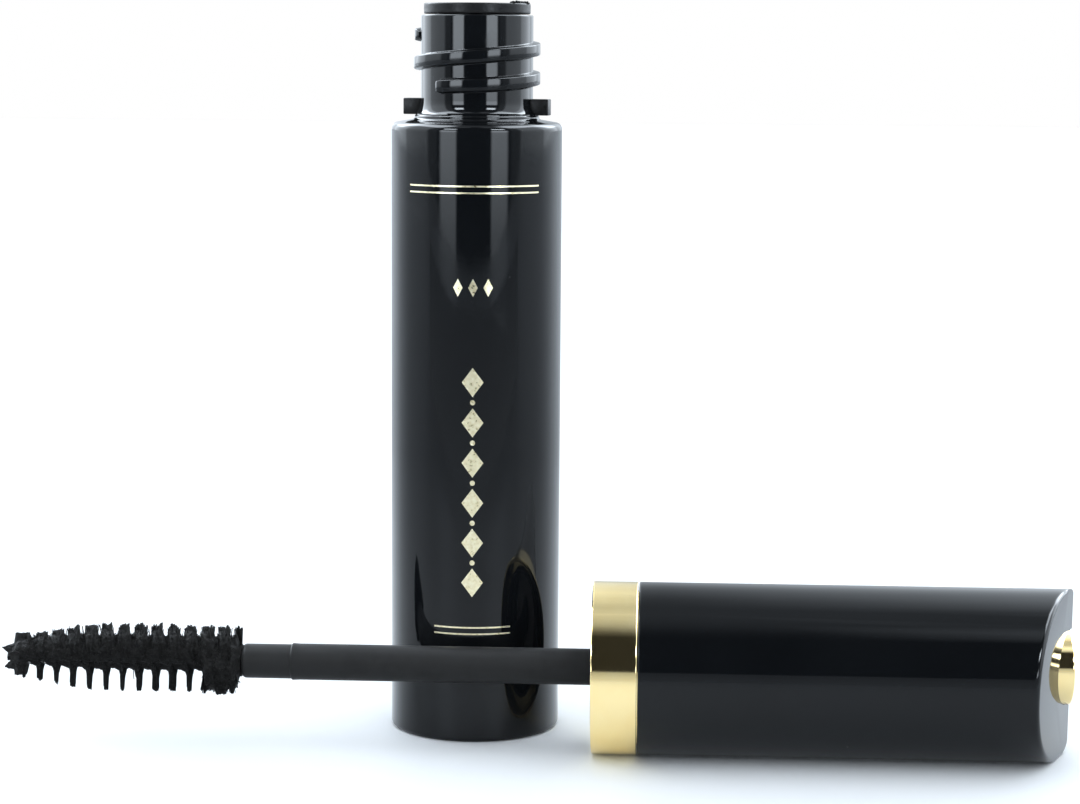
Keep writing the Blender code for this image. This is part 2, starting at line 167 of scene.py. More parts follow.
# Cap, collar and button: distances along the wand are counted from the mouth
CAP_END_EDGE_R = 0.42 * MM
CAP_CAVITY_END_A = 44.80 * MM
FACET_TILT = radians(22.0)
FACET_ROLL = radians(2.7)
FACET_CHORD = 3.30 * MM
FACET_EDGE_R = 0.45 * MM
FACET_FLAT_DOT = 0.9999
CAP_SOCKET_R = 8.30 * MM
CAP_SOCKET_A = 9.30 * MM
CAP_BORE_R = 7.45 * MM
CAP_CAVITY_R = 7.00 * MM
CAP_CAVITY_A = 21.50 * MM
COLLAR_W = 4.75 * MM
COLLAR_BORE_R = 8.78 * MM
COLLAR_TAIL_R = 8.15 * MM
COLLAR_TAIL_BORE_R = 7.50 * MM
COLLAR_STEP_A = 3.70 * MM
COLLAR_EDGE_R = 0.12 * MM
LINING_T = 0.16 * MM
LINING_A = 0.06 * MM
LINING_GAP = 0.016 * MM
BUTTON_FOOT_A = 47.50 * MM
BUTTON_EDGE_R = 0.24 * MM
BUTTON_DOME = 0.08 * MM
BUTTON_RIM_DEG = 88.0
BUTTON_GAP = 0.03 * MM
CAP_SHARP_DEG = 18.0
SPIGOT_R = 1.85 * MM
SPIGOT_L = 1.60 * MM

# Insert, washer and rod
INSERT_BORE_R = 6.88 * MM
INSERT_MOUTH_A = 2.60 * MM
INSERT_CEILING_A = 13.20 * MM
INSERT_BACK_A = 16.00 * MM
INSERT_HUB_R = 3.60 * MM
INSERT_HUB_BORE_R = 2.05 * MM
STOP_DOG_A = 1.00 * MM
STOP_DOG_W = 2.40 * MM
STOP_DOG_L = 2.80 * MM
STOP_DOG_DEG = 90.0
WASHER_T = 0.80 * MM
WASHER_BORE_R = 2.25 * MM
ROD_R = 1.92 * MM
ROD_BEAD_R = 1.96 * MM
ROD_BEAD_L = 0.90 * MM
ROD_BARB_R = 2.45 * MM
ROD_END_EDGE_R = 0.50 * MM
ROD_SIDES = 96
COLLET_R = 1.82 * MM
COLLET_A = -32.00 * MM
WIRE_HOLE_R = 1.00 * MM
WIRE_HOLE_A = -30.40 * MM

# Brush
TWIST_LEAD = 3.58 * MM
TWIST_SHIFT = 0.89 * MM
WIRE_R = 0.28 * MM
WIRE_LEG_R = 0.50 * MM
WIRE_IN_A = -31.00 * MM
WIRE_BEND_A = -61.50 * MM
WIRE_STEPS = 260
WIRE_BEND_STEPS = 12
WIRE_SIDES = 12
BRUSH_R = 3.45 * MM
BRUSH_TIP_R = 2.15 * MM
BRUSH_TAPER_L = 10.00 * MM

# Meshes: sides of a turned piece, how close a holding ring lies to an edge, and what counts as sharp
ROUND_SIDES = 160
HOLD = 0.12 * MM
SHARP_DEG = 32.0


def ease(value, start, end):
    share = max(0.0, min(1.0, (value - start) / (end - start)))
    return share * share * (3.0 - 2.0 * share)


def arc(centre, radius, start_deg, end_deg, steps=8):
    points = []
    for i in range(steps + 1):
        turn = radians(start_deg + (end_deg - start_deg) * i / steps)
        points.append((centre[0] + radius * cos(turn), centre[1] + radius * sin(turn)))
    return points


def low_edge(radius, height, edge, steps=4):
    """Rounding from a face that looks down to the wall above it."""
    return arc((radius - edge, height + edge), edge, -90.0, 0.0, steps)


def high_edge(radius, height, edge, steps=4):
    return arc((radius - edge, height - edge), edge, 0.0, 90.0, steps)


def polar(r, turn, height):
    return Vector((r * cos(turn), r * sin(turn), height))


def turns(count):
    return [tau * k / count for k in range(count)]


def ring(middle, side, across, radius, count):
    return [middle + radius * (cos(turn) * side + sin(turn) * across) for turn in turns(count)]


def add_piece(name, bm, place, mat, sharp_deg=SHARP_DEG):
    """Turn a bmesh into a smooth shaded piece at a place in the frame."""
    bmesh.ops.recalc_face_normals(bm, faces=bm.faces)
    mesh = bpy.data.meshes.new(name)
    bm.to_mesh(mesh)
    bm.free()
    mesh.shade_smooth()
    mesh.set_sharp_from_angle(angle=radians(sharp_deg))
    mesh.materials.append(mat)
    piece = bpy.data.objects.new(name, mesh)
    scene.collection.objects.link(piece)
    piece.matrix_world = place
    return piece


def settle(piece, body, slot, *nodes):
    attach(piece, body)
    if nodes:
        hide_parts(*nodes)


def dress(name, bm, mat, body, slot, *nodes, sharp_deg=SHARP_DEG):
    """Make a piece in the place of its body, and settle it there."""
    settle(add_piece(name, bm, PLACES[body], mat, sharp_deg), body, slot, *nodes)


def held(profile):
    """Add rings close to both ends of long stretches, so that flats and straight walls shade true."""
    points = [profile[0]]
    for start, end in zip(profile, profile[1:]):
        length = hypot(end[0] - start[0], end[1] - start[1])
        if length > 4.0 * HOLD:
            for share in (HOLD / length, 1.0 - HOLD / length):
                points.append(tuple(p + (q - p) * share for p, q in zip(start, end)))
        points.append(end)
    return points


def lathe(profile, sides=ROUND_SIDES):
    """Turn (radius, height) points about Z; a profile that starts off the axis is a closed ring."""
    bm = bmesh.new()
    closed = profile[0][0] > 0.0
    points = held(profile + profile[:1]) if closed else held(profile)
    rings = []
    for radius, height in points[:-1] if closed else points:
        if radius == 0.0:
            rings.append([bm.verts.new((0.0, 0.0, height))])
            continue
        rings.append([bm.verts.new(polar(radius, turn, height)) for turn in turns(sides)])
    pairs = list(zip(rings, rings[1:]))
    if closed:
        pairs.append((rings[-1], rings[0]))
    for low, high in pairs:
        for i in range(sides):
            j = (i + 1) % sides
            corners = [low[i % len(low)], low[j % len(low)], high[j % len(high)], high[i % len(high)]]
            bm.faces.new(list(dict.fromkeys(corners)))
    return bm


def skin(bm, sections):
    """Join a row of equal closed sections and cap both ends."""
    rings = [[bm.verts.new(point) for point in section] for section in sections]
    count = len(rings[0])
    for low, high in zip(rings, rings[1:]):
        for i in range(count):
            j = (i + 1) % count
            bm.faces.new((low[i], low[j], high[j], high[i]))
    bm.faces.new(rings[0])
    bm.faces.new(rings[-1])
    return bm


def thread_section():
    """Half outline of the rib, from its sunk foot to the flat of its crest: (height, half width)."""
    foot = 0.5 * THREAD_ROOT_W + THREAD_FOOT_FILLET
    crest = 0.5 * THREAD_CREST_W - THREAD_CREST_ROUND
    top = THREAD_H - THREAD_CREST_ROUND
    half = [(-THREAD_SUNK, foot)]
    half += arc((THREAD_FOOT_FILLET, foot), THREAD_FOOT_FILLET, 180.0, 270.0, 4)
    half += arc((top, crest), THREAD_CREST_ROUND, 90.0, 0.0, 4)
    return half


def thread(wall_r, height, start_z, start_deg, sweep_deg):
    """Right-hand rib on a wall; a negative height stands it on the inside of a bore."""
    half = thread_section()
    outline = [(h, -w) for h, w in half] + [(h, w) for h, w in reversed(half)]
    steps = round(sweep_deg / THREAD_STEP_DEG)
    sections = []
    for i in range(steps + 1):
        deg = sweep_deg * i / steps
        turn = radians(start_deg + deg)
        run_in = min(1.0, deg / THREAD_RUN_IN_DEG + THREAD_FIRST_SHARE)
        run_out = min(1.0, (sweep_deg - deg) / THREAD_RUN_OUT_DEG + THREAD_LAST_SHARE)
        rise = sqrt(run_in * run_out)
        z = start_z + THREAD_LEAD * deg / 360.0 + THREAD_LIFT * ease(deg, THREAD_LIFT_DEG, 0.0)
        section = []
        for h, w in outline:
            radius = wall_r + h / THREAD_H * height * (rise if h > 0.0 else 1.0)
            section.append(polar(radius, turn, z + w * rise))
        sections.append(section)
    return skin(bmesh.new(), sections)


def block(r_in, r_out, width, z_low, z_high, deg):
    """Radial block with rounded edges."""
    bm = bmesh.new()
    size = Vector((r_out - r_in, width, z_high - z_low))
    middle = Vector((0.5 * (r_in + r_out), 0.0, 0.5 * (z_low + z_high)))
    turn = Matrix.Rotation(radians(deg), 4, "Z")
    place = turn @ Matrix.Translation(middle) @ Matrix.Diagonal((*size, 1.0))
    bmesh.ops.create_cube(bm, size=1.0, matrix=place)
    bmesh.ops.bevel(bm, geom=bm.edges[:], offset=LUG_EDGE_R, segments=3, profile=0.5, affect="EDGES")
    return bm


def feed(tree, made, inputs):
    """Fill inputs of a shader node, each with a value to set or a socket to link."""
    for key, value in inputs.items():
        if isinstance(value, bpy.types.NodeSocket):
            tree.links.new(value, made.inputs[key])
        else:
            made.inputs[key].default_value = value


def node(tree, kind, inputs=None, **settings):
    made = tree.nodes.new("ShaderNode" + kind)
    for key, value in settings.items():
        setattr(made, key, value)
    feed(tree, made, inputs or {})
    return made


def own_place(tree):
    return node(tree, "TexCoord").outputs["Object"]


def grain(tree, size, detail=4.0, stretch=(1.0, 1.0, 1.0)):
    """Noise whose features are about size across, in the piece's own coordinates."""
    mapped = node(tree, "Mapping", {"Vector": own_place(tree), "Scale": stretch}).outputs["Vector"]
    made = node(tree, "TexNoise", {"Vector": mapped, "Scale": 1.0 / size, "Detail": detail})
    return made.outputs["Fac"]


def span(tree, value, low=0.0, high=1.0, from_low=0.3, from_high=0.7):
    """Map a noise value to a range, without overshoot."""
    inputs = {"Value": value, "From Min": from_low, "From Max": from_high, "To Min": low, "To Max": high}
    return node(tree, "MapRange", inputs).outputs["Result"]


def calc(tree, operation, first, second=0.0):
    return node(tree, "Math", {0: first, 1: second}, operation=operation).outputs["Value"]


def colour_input(value):
    return value if isinstance(value, bpy.types.NodeSocket) else (*value, 1.0)


def tint(tree, share, low, high):
    """Blend two colours, each a colour or a socket."""
    inputs = {0: share, 6: colour_input(low), 7: colour_input(high)}
    return node(tree, "Mix", inputs, data_type="RGBA").outputs[2]


def relief(tree, height, depth):
    inputs = {"Height": height, "Strength": 1.0, "Distance": depth}
    return node(tree, "Bump", inputs).outputs["Normal"]


def surface(name, roughness, metallic=0.0, specular=0.5):
    """Start a material; its inputs with detail are linked afterwards."""
    mat = bpy.data.materials.new(name)
    mat.use_nodes = True
    wire_up(mat, Roughness=roughness, Metallic=metallic, Specular_IOR_Level=specular)
    return mat, mat.node_tree


def wire_up(mat, **inputs):
    """Fill inputs of a material's shader, and give back the material."""
    tree = mat.node_tree
    named = {key.replace("_", " "): value for key, value in inputs.items()}
    feed(tree, tree.nodes["Principled BSDF"], named)
    return mat


def finished(mat, colour, rough, normal):
    return wire_up(mat, Base_Color=colour, Roughness=rough, Normal=normal)


def gloss_black():
    """Polished black plastic: faint waviness, finger smudges and a few specks of dust."""
    mat, tree = surface("gloss_black", 0.05, specular=0.25)
    clouds = grain(tree, 14.0 * MM, 2.0)
    smudge = span(tree, grain(tree, 6.0 * MM, 6.0), 0.0, 0.10, 0.58, 0.75)
    polish = span(tree, grain(tree, 0.5 * MM, 3.0), 0.035, 0.075)
    cells = node(tree, "TexVoronoi", {"Vector": own_place(tree), "Scale": 1.0 / (2.2 * MM)})
    near = span(tree, cells.outputs["Distance"], 1.0, 0.0, 0.015, 0.035)
    few = span(tree, grain(tree, 5.0 * MM, 1.0), 0.0, 1.0, 0.60, 0.62)
    dust = calc(tree, "MULTIPLY", near, few)
    body = tint(tree, span(tree, clouds), (0.0031, 0.0038, 0.0048), (0.0043, 0.0052, 0.0064))
    dusty = tint(tree, dust, body, (0.30, 0.30, 0.29))
    rough = calc(tree, "ADD", polish, smudge)
    wave = relief(tree, grain(tree, 4.5 * MM, 1.0), 0.006 * MM)
    return finished(mat, dusty, rough, wave)


def soft_black():
    """Soft matte moulding of the wiper and the lugs, with dried film in patches."""
    mat, tree = surface("soft_black", 0.4, specular=0.15)
    film = span(tree, grain(tree, 1.6 * MM, 5.0), 0.0, 1.0, 0.45, 0.62)
    colour = tint(tree, film, (0.0090, 0.0094, 0.0100), (0.0052, 0.0052, 0.0056))
    rough = span(tree, grain(tree, 0.4 * MM), 0.26, 0.42)
    bumps = relief(tree, grain(tree, 0.25 * MM), 0.012 * MM)
    return finished(mat, colour, rough, bumps)


def rod_black():
    """Satin extruded rod: fine lengthwise drawing marks and a thin smear of product."""
    mat, tree = surface("rod_black", 0.5, specular=0.12)
    drawn = grain(tree, 0.12 * MM, 3.0, (1.0, 1.0, 0.04))
    smear = span(tree, grain(tree, 3.0 * MM, 6.0), 0.0, 1.0, 0.50, 0.66)
    colour = tint(tree, smear, (0.0143, 0.0148, 0.0153), (0.0115, 0.0119, 0.0123))
    rough = calc(tree, "ADD", span(tree, drawn, 0.44, 0.52), span(tree, smear, 0.0, 0.08, 0.0, 1.0))
    return finished(mat, colour, rough, relief(tree, drawn, 0.004 * MM))


def insert_black():
    """Moulded insert: even matte with a fine spark-eroded grain."""
    mat, tree = surface("insert_black", 0.5, specular=0.4)
    clouds = span(tree, grain(tree, 2.0 * MM))
    colour = tint(tree, clouds, (0.016, 0.016, 0.018), (0.024, 0.024, 0.026))
    rough = span(tree, grain(tree, 0.3 * MM), 0.42, 0.58)
    bumps = relief(tree, grain(tree, 0.12 * MM), 0.008 * MM)
    return finished(mat, colour, rough, bumps)


def gold_metal():
    """Bright anodised metal with fine turning lines round the axis."""
    mat, tree = surface("gold_metal", 0.10, metallic=1.0)
    turned = grain(tree, 0.9 * MM, 3.0, (1.0, 1.0, 45.0))
    wear = grain(tree, 3.5 * MM, 5.0)
    colour = tint(tree, span(tree, wear), (0.98, 0.765, 0.365), (1.0, 0.815, 0.43))
    rough = calc(tree, "ADD", span(tree, turned, 0.07, 0.12), span(tree, wear, 0.0, 0.05, 0.55, 0.75))
    return finished(mat, colour, rough, relief(tree, turned, 0.0006 * MM))


def gold_foil():
    """Hot-stamped foil: bright, a little uneven where it lies on the plastic."""
    mat, tree = surface("gold_foil", 0.3, metallic=1.0)
    press = grain(tree, 0.35 * MM)
    colour = tint(tree, span(tree, press), (0.80, 0.70, 0.42), (0.95, 0.89, 0.66))
    rough = span(tree, press, 0.24, 0.42)
    return finished(mat, colour, rough, relief(tree, press, 0.006 * MM))


def washer_foam():
    """Pressed foam disc, pale, with fine pores."""
    mat, tree = surface("washer_foam", 0.8, specular=0.3)
    pores = grain(tree, 0.15 * MM, 5.0)
    colour = tint(tree, span(tree, pores), (0.50, 0.49, 0.47), (0.74, 0.73, 0.70))
    rough = span(tree, pores, 0.7, 0.9)
    return finished(mat, colour, rough, relief(tree, pores, 0.03 * MM))


def steel_wire():
    """Drawn steel, dulled by product."""
    mat, tree = surface("steel_wire", 0.35, metallic=1.0)
    dull = span(tree, grain(tree, 0.6 * MM, 5.0), 0.0, 1.0, 0.42, 0.60)
    colour = tint(tree, dull, (0.42, 0.42, 0.43), (0.05, 0.05, 0.05))
    rough = span(tree, dull, 0.28, 0.55, 0.0, 1.0)
    return finished(mat, colour, rough, relief(tree, grain(tree, 0.08 * MM, 3.0), 0.004 * MM))


def coated_fibre():
    """Nylon fibre under dried mascara: near black, patchy between dull and waxy."""
    mat, tree = surface("coated_fibre", 0.7, specular=0.10)
    patch = grain(tree, 0.35 * MM, 5.0)
    colour = tint(tree, span(tree, patch), (0.0024, 0.0025, 0.0026), (0.0118, 0.0118, 0.0116))
    rough = span(tree, grain(tree, 0.3 * MM), 0.55, 0.80)
    bumps = relief(tree, grain(tree, 0.10 * MM), 0.03 * MM)
    return finished(mat, colour, rough, bumps)


def bottle_profile():
    inner_corner = BODY_R - WALL_T - INNER_CORNER_R
    ceiling_z = SHOULDER_Z - WALL_T + SHOULDER_EDGE_R
    corner_z = ceiling_z - 2.0 * EDGE_R - INNER_CORNER_R
    foot_top = NECK_FOOT_Z + NECK_FOOT_H
    points = [(0.0, 0.0)]
    points += low_edge(BODY_R, 0.0, BASE_EDGE_R, 8)
    points += arc((BODY_R - SHOULDER_EDGE_R, SHOULDER_Z), SHOULDER_EDGE_R, 0.0, SHOULDER_ARC_DEG, 14)
    edge = NECK_FOOT_EDGE_R
    points += arc((NECK_FOOT_R + edge, NECK_FOOT_Z + edge), edge, NECK_FOOT_IN_DEG, 180.0, 6)
    points += arc((NECK_FOOT_R - edge, foot_top - edge), edge, 0.0, NECK_FOOT_OUT_DEG, 5)
    for out, down in arc((0.0, 0.0), 1.0, NECK_FLARE_DEG, 0.0, 12):
        points.append((NECK_R + NECK_FLARE_W * (1.0 - out), NECK_FLARE_Z - NECK_FLARE_H * down))
    points += high_edge(NECK_R, NECK_TOP_Z, EDGE_R)
    points.append((NECK_BORE_R, NECK_TOP_Z))
    points += arc((NECK_BORE_R + EDGE_R, ceiling_z + EDGE_R), EDGE_R, 180.0, 270.0, 3)
    points += arc((inner_corner, corner_z), INNER_CORNER_R, 90.0, 0.0, 6)
    points += arc((inner_corner, BASE_T + INNER_CORNER_R), INNER_CORNER_R, 0.0, -90.0, 6)
    points.append((0.0, BASE_T))
    return points


def build_bottle(gloss, soft):
    dress("bottle_body", lathe(bottle_profile()), gloss, "bottle", "gloss_black", "bottle_shell")
    rib = thread(NECK_R, THREAD_H, THREAD_START_Z, THREAD_START_DEG, THREAD_SWEEP_DEG)
    dress("neck_thread", rib, gloss, "bottle", "gloss_black")
    for side, deg in (("right", LUG_DEG), ("left", LUG_DEG + 180.0)):
        lug = block(NECK_R - THREAD_SUNK, LUG_R, LUG_W, LUG_Z, LUG_Z + LUG_H, deg)
        dress("stop_lug_" + side, lug, soft, "bottle", "gloss_black")


def build_wiper(soft):
    flange_z = WIPER_TOP_Z - WIPER_FLANGE_T
    wall = WIPER_R - WIPER_BORE_R
    lip_z = WIPER_END_Z + wall
    points = [(WIPER_R, flange_z)]
    points += low_edge(WIPER_FLANGE_R, flange_z, EDGE_R)
    points += high_edge(WIPER_FLANGE_R, WIPER_TOP_Z, EDGE_R, 5)
    points += arc((WIPER_BORE_R + wall, WIPER_TOP_Z - wall), wall, 90.0, 180.0, 6)
    points += [(WIPER_BORE_R, WIPER_CONE_Z), (WIPER_ORIFICE_R, lip_z)]
    points += arc((WIPER_ORIFICE_R + 0.5 * wall, WIPER_END_Z + 0.5 * wall), 0.5 * wall, 180.0, 360.0, 8)
    points.append((WIPER_R, WIPER_CONE_Z))
    dress("wiper_sleeve", lathe(points), soft, "bottle", "soft_black", "wiper")


def build_collar(gold):
    points = [(COLLAR_BORE_R, 0.0)]
    points += low_edge(COLLAR_R, 0.0, COLLAR_EDGE_R, 6)
    points += high_edge(COLLAR_R, COLLAR_W, COLLAR_EDGE_R, 6)
    points += [(COLLAR_TAIL_R, COLLAR_W), (COLLAR_TAIL_R, COLLAR_TAIL_A)]
    points += [(COLLAR_TAIL_BORE_R, COLLAR_TAIL_A), (COLLAR_TAIL_BORE_R, COLLAR_STEP_A)]
    points.append((COLLAR_BORE_R, COLLAR_STEP_A))
    dress("gold_collar", lathe(points), gold, "wand", "gold_metal", "collar_ring")


def build_lining_and_shade(plastic):
    """Thin dark lining of the collar's bore: partly the black plastic behind the thin gold, partly
    painted shade, a dark sheet for the dark inside of the mouth that shows in the bottle's gloss.
    """
    outer = COLLAR_BORE_R - LINING_GAP
    inner = COLLAR_BORE_R - LINING_T
    end = COLLAR_STEP_A - LINING_A
    points = [(inner, LINING_A), (outer, LINING_A), (outer, end), (inner, end)]
    dress("collar_lining", lathe(points), plastic, "wand", "insert_black")


def cut_facet(bm):
    """Slice the slanted facet off the cap's end, close the cut and round its rim; give its normal."""
    turn = Matrix.Rotation(FACET_ROLL, 3, "Z") @ Matrix.Rotation(FACET_TILT, 3, "X")
    out = turn @ AXIS
    middle = Vector((0.0, 0.0, CAP_END_A - FACET_CHORD * tan(FACET_TILT)))
    beside = middle - out * (FACET_EDGE_R + HOLD)
    geom = bm.verts[:] + bm.edges[:] + bm.faces[:]
    bmesh.ops.bisect_plane(bm, geom=geom, plane_co=beside, plane_no=out)
    geom = bm.verts[:] + bm.edges[:] + bm.faces[:]
    cut = bmesh.ops.bisect_plane(bm, geom=geom, plane_co=middle, plane_no=out, clear_outer=True)
    rim = [edge for edge in cut["geom_cut"] if isinstance(edge, bmesh.types.BMEdge)]
    bmesh.ops.contextual_create(bm, geom=rim)
    straight_a = CAP_END_A - 2.0 * CAP_END_EDGE_R
    wall_r = CAP_R - FACET_EDGE_R
    wall = []
    for edge in rim:
        outer = all(hypot(vert.co.x, vert.co.y) > wall_r for vert in edge.verts)
        if outer and max(vert.co.z for vert in edge.verts) < straight_a:
            wall.append(edge)
    bmesh.ops.bevel(bm, geom=wall, offset=FACET_EDGE_R, segments=7, profile=0.5, affect="EDGES")
    return out


def bore(piece, profile, place):
    """Take a turned hole out of a piece."""
    drill = add_piece("drill", lathe(profile), place, piece.data.materials[0])
    cut = piece.modifiers.new("hole", "BOOLEAN")
    cut.object = drill
    cut.operation = "DIFFERENCE"
    cut.solver = "EXACT"
    bored = bpy.data.meshes.new_from_object(piece.evaluated_get(bpy.context.evaluated_depsgraph_get()))
    piece.modifiers.clear()
    spent = (piece.data, drill.data)
    piece.data = bored
    bpy.data.objects.remove(drill)
    for mesh in spent:
        bpy.data.meshes.remove(mesh)
    bored.name = piece.name


def button_place():
    centre = WAND_PLACE.inverted() @ BUTTON_MIDDLE
    return WAND_PLACE @ Matrix.Translation((centre.x, centre.y, 0.0))


def build_cap(gloss):
    points = [(0.0, CAP_CAVITY_END_A), (CAP_CAVITY_R, CAP_CAVITY_END_A), (CAP_CAVITY_R, CAP_CAVITY_A)]
    points += [(CAP_BORE_R, CAP_CAVITY_A), (CAP_BORE_R, CAP_SOCKET_A), (CAP_SOCKET_R, CAP_SOCKET_A)]
    points.append((CAP_SOCKET_R, CAP_MOUTH_A))
    points += low_edge(CAP_R, CAP_MOUTH_A, EDGE_R)
    points += high_edge(CAP_R, CAP_END_A, CAP_END_EDGE_R, 8)
    points.append((0.0, CAP_END_A))
    cap = add_piece("cap_body", lathe(points), WAND_PLACE, gloss)
    low = BUTTON_FOOT_A - BUTTON_GAP
    high = CAP_END_A + BUTTON_R
    radius = BUTTON_R + BUTTON_GAP
    bore(cap, [(0.0, low), (radius, low), (radius, high), (0.0, high)], button_place())
    bm = bmesh.new()
    bm.from_mesh(cap.data)
    out = cut_facet(bm)
    bmesh.ops.recalc_face_normals(bm, faces=bm.faces)
    bm.to_mesh(cap.data)
    bm.free()
    cap.data.shade_smooth()
    for face in cap.data.polygons:
        face.use_smooth = face.normal.dot(out) < FACET_FLAT_DOT
    cap.data.set_sharp_from_angle(angle=radians(CAP_SHARP_DEG))
    settle(cap, "wand", "gloss_black", "cap_shell")


def build_button(gold):
    """Round metal peg let into the cap's end; the facet bares its flank."""
    tail = BUTTON_FOOT_A - SPIGOT_L
    rim = (BUTTON_R - BUTTON_EDGE_R, BUTTON_FACE_A - BUTTON_DOME - BUTTON_EDGE_R)
    points = [(0.0, tail), (SPIGOT_R, tail), (SPIGOT_R, BUTTON_FOOT_A), (BUTTON_R, BUTTON_FOOT_A)]
    points += arc(rim, BUTTON_EDGE_R, 0.0, BUTTON_RIM_DEG, 8)
    points.append((0.0, BUTTON_FACE_A))
    button = add_piece("gold_button", lathe(points), button_place(), gold)
    settle(button, "wand", "gold_metal", "end_button")


def build_insert(plastic):
    points = [(INSERT_BORE_R + EDGE_R, INSERT_MOUTH_A), (INSERT_R, INSERT_MOUTH_A)]
    points += [(INSERT_R, INSERT_BACK_A - EDGE_R), (INSERT_R - EDGE_R, INSERT_BACK_A)]
    points += [(INSERT_HUB_R, INSERT_BACK_A), (INSERT_HUB_R, INSERT_HUB_A)]
    points += [(INSERT_HUB_BORE_R, INSERT_HUB_A), (INSERT_HUB_BORE_R, INSERT_CEILING_A)]
    points += [(INSERT_BORE_R, INSERT_CEILING_A), (INSERT_BORE_R, INSERT_MOUTH_A + EDGE_R)]
    dress("threaded_insert", lathe(points), plastic, "wand", "insert_black", "inner_cap")
    rib = thread(INSERT_BORE_R, -INSERT_THREAD_H, INSERT_THREAD_A, 0.0, INSERT_THREAD_SWEEP_DEG)
    dress("insert_thread", rib, plastic, "wand", "insert_black")
    for side, deg in (("near", STOP_DOG_DEG), ("far", STOP_DOG_DEG + 180.0)):
        dog = block(INSERT_BORE_R, INSERT_R, STOP_DOG_W, STOP_DOG_A, STOP_DOG_A + STOP_DOG_L, deg)
        dress("stop_dog_" + side, dog, plastic, "wand", "insert_black")


def build_washer(foam):
    edge = EDGE_R
    top = WASHER_A + WASHER_T
    points = arc((WASHER_BORE_R + edge, WASHER_A + edge), edge, 180.0, 270.0, 4)
    points += low_edge(WASHER_R, WASHER_A, edge)
    points += high_edge(WASHER_R, top, edge)
    points += arc((WASHER_BORE_R + edge, top - edge), edge, 90.0, 180.0, 4)
    dress("foam_washer", lathe(points), foam, "washer", "washer_foam", "sealing_washer")


def build_rod(plastic):
    points = [(0.0, WIRE_HOLE_A), (WIRE_HOLE_R, WIRE_HOLE_A)]
    points += arc((WIRE_HOLE_R + EDGE_R, ROD_END_A + EDGE_R), EDGE_R, 180.0, 270.0, 4)
    points += low_edge(COLLET_R, ROD_END_A, ROD_END_EDGE_R, 8)
    points += [(COLLET_R, COLLET_A), (ROD_BEAD_R, COLLET_A + EDGE_R), (ROD_R, COLLET_A + ROD_BEAD_L)]
    points += [(ROD_R, INSERT_HUB_A + EDGE_R), (ROD_BARB_R, INSERT_HUB_A + 2.0 * EDGE_R)]
    points += [(ROD_R, ROD_HEAD_A), (0.0, ROD_HEAD_A)]
    dress("rod_stem", lathe(points, ROD_SIDES), plastic, "wand", "rod_black", "wand_rod")


def twist(a):
    """Angle of the fibre web at a place on the axis; an angle of 0 points down to the table."""
    return tau * (a - BRUSH_START_A - TWIST_SHIFT) / TWIST_LEAD + 0.5 * pi


def build_wire(steel):
    legs = []
    for i in range(WIRE_STEPS + 1):
        a = WIRE_IN_A + (WIRE_BEND_A - WIRE_IN_A) * i / WIRE_STEPS
        legs.append(polar(WIRE_LEG_R, twist(a) - 0.5 * pi, a))
    end = twist(WIRE_BEND_A) - 0.5 * pi
    bend = []
    for i in range(1, WIRE_BEND_STEPS):
        turn = pi * i / WIRE_BEND_STEPS
        bend.append(polar(WIRE_LEG_R * cos(turn), end, WIRE_BEND_A - WIRE_LEG_R * sin(turn)))
    path = legs + bend + [Vector((-p.x, -p.y, p.z)) for p in reversed(legs)]
    sections = []
    side = AXIS
    for i, point in enumerate(path):
        along = (path[min(i + 1, len(path) - 1)] - path[max(i - 1, 0)]).normalized()
        side = (side - along * side.dot(along)).normalized()
        sections.append(ring(point, side, along.cross(side), WIRE_R, WIRE_SIDES))
    bm = skin(bmesh.new(), sections)
    dress("wire_core", bm, steel, "wand", "steel_wire", "twisted_wire")


def reach(a):
    """Brush radius: full over the length, drawn in towards the tip."""
    return BRUSH_TIP_R + (BRUSH_R - BRUSH_TIP_R) * ease(a, BRUSH_TIP_A, BRUSH_TIP_A + BRUSH_TAPER_L)


# Brush with product: spikes hang below, tufts stand above, the end at the rod is loaded.
# Directions are degrees round the wand, from 0 straight down to 90 on the far side.
DOWN = -13.5
UP = DOWN + 180.0
NEAR = -104.0
FAR = 76.0
LOW_NEAR = -42.0
SPIKE_TURN = radians(DOWN)
SPIKE_FROM = radians(-90.0)
SPIKE_TO = radians(72.0)
SPIKE_REACH = 0.955
SPIKE_LONGEST = 1.06
SPIKE_RAGGED = 0.20
SPIKE_LAST_A = -43.07 * MM
SPIKE_SPREAD = (0.07, 0.17, 0.15, 0.10, 0.06, 0.08, 0.08, 0.13, 0.05, 0.12, 0.08, 0.08)
SPIKE_THICK = 1.6
SPIKE_FAN = 0.05
SPIKE_JITTER = 0.018
SPIKE_KEPT_SHIFT = 0.10
SPIKE_BEND_R = 0.34
SPIKE_BEND_TURN = 0.95
TUFT_REACH = 1.05
TUFT_EDGE_REACH = 0.94
TUFT_INNER = radians(68.0)
TUFT_OUTER = radians(86.0)
TUFT_VARY = radians(22.0)
TUFT_GATHER = (0.55, 1.0)
TUFT_CELL_RISE = 0.13
TUFT_ROW_RISE = 0.05
TUFT_RAGGED = 0.09
TUFT_JITTER = 0.05
TUFT_DRIFT = 0.03 * MM
TUFT_BEND_R = 0.60
TUFT_BEND_SHARE = 0.45
CELL_L = 0.36 * MM
CELL_PULL = 0.70
CELL_JITTER = 0.35
STRAY_SHARE = 0.07
STRAY_TURN = 0.35
STRAY_SHIFT = 0.30 * MM
FIBRES = 3400
FIBRE_GRIP_R = 0.45 * MM
FIBRE_ROOT_R = 0.055 * MM
FIBRE_END_R = 0.046 * MM
FIBRE_THICK = (0.8, 1.3)
FIBRE_SHARP_DEG = 100.0
FIBRE_SEED = 7
STRAND_SHARES = (0.0, 0.3, 0.65, 1.0)
STRAND_SIDES = 4
BESIDE_ROD_COS = -0.5
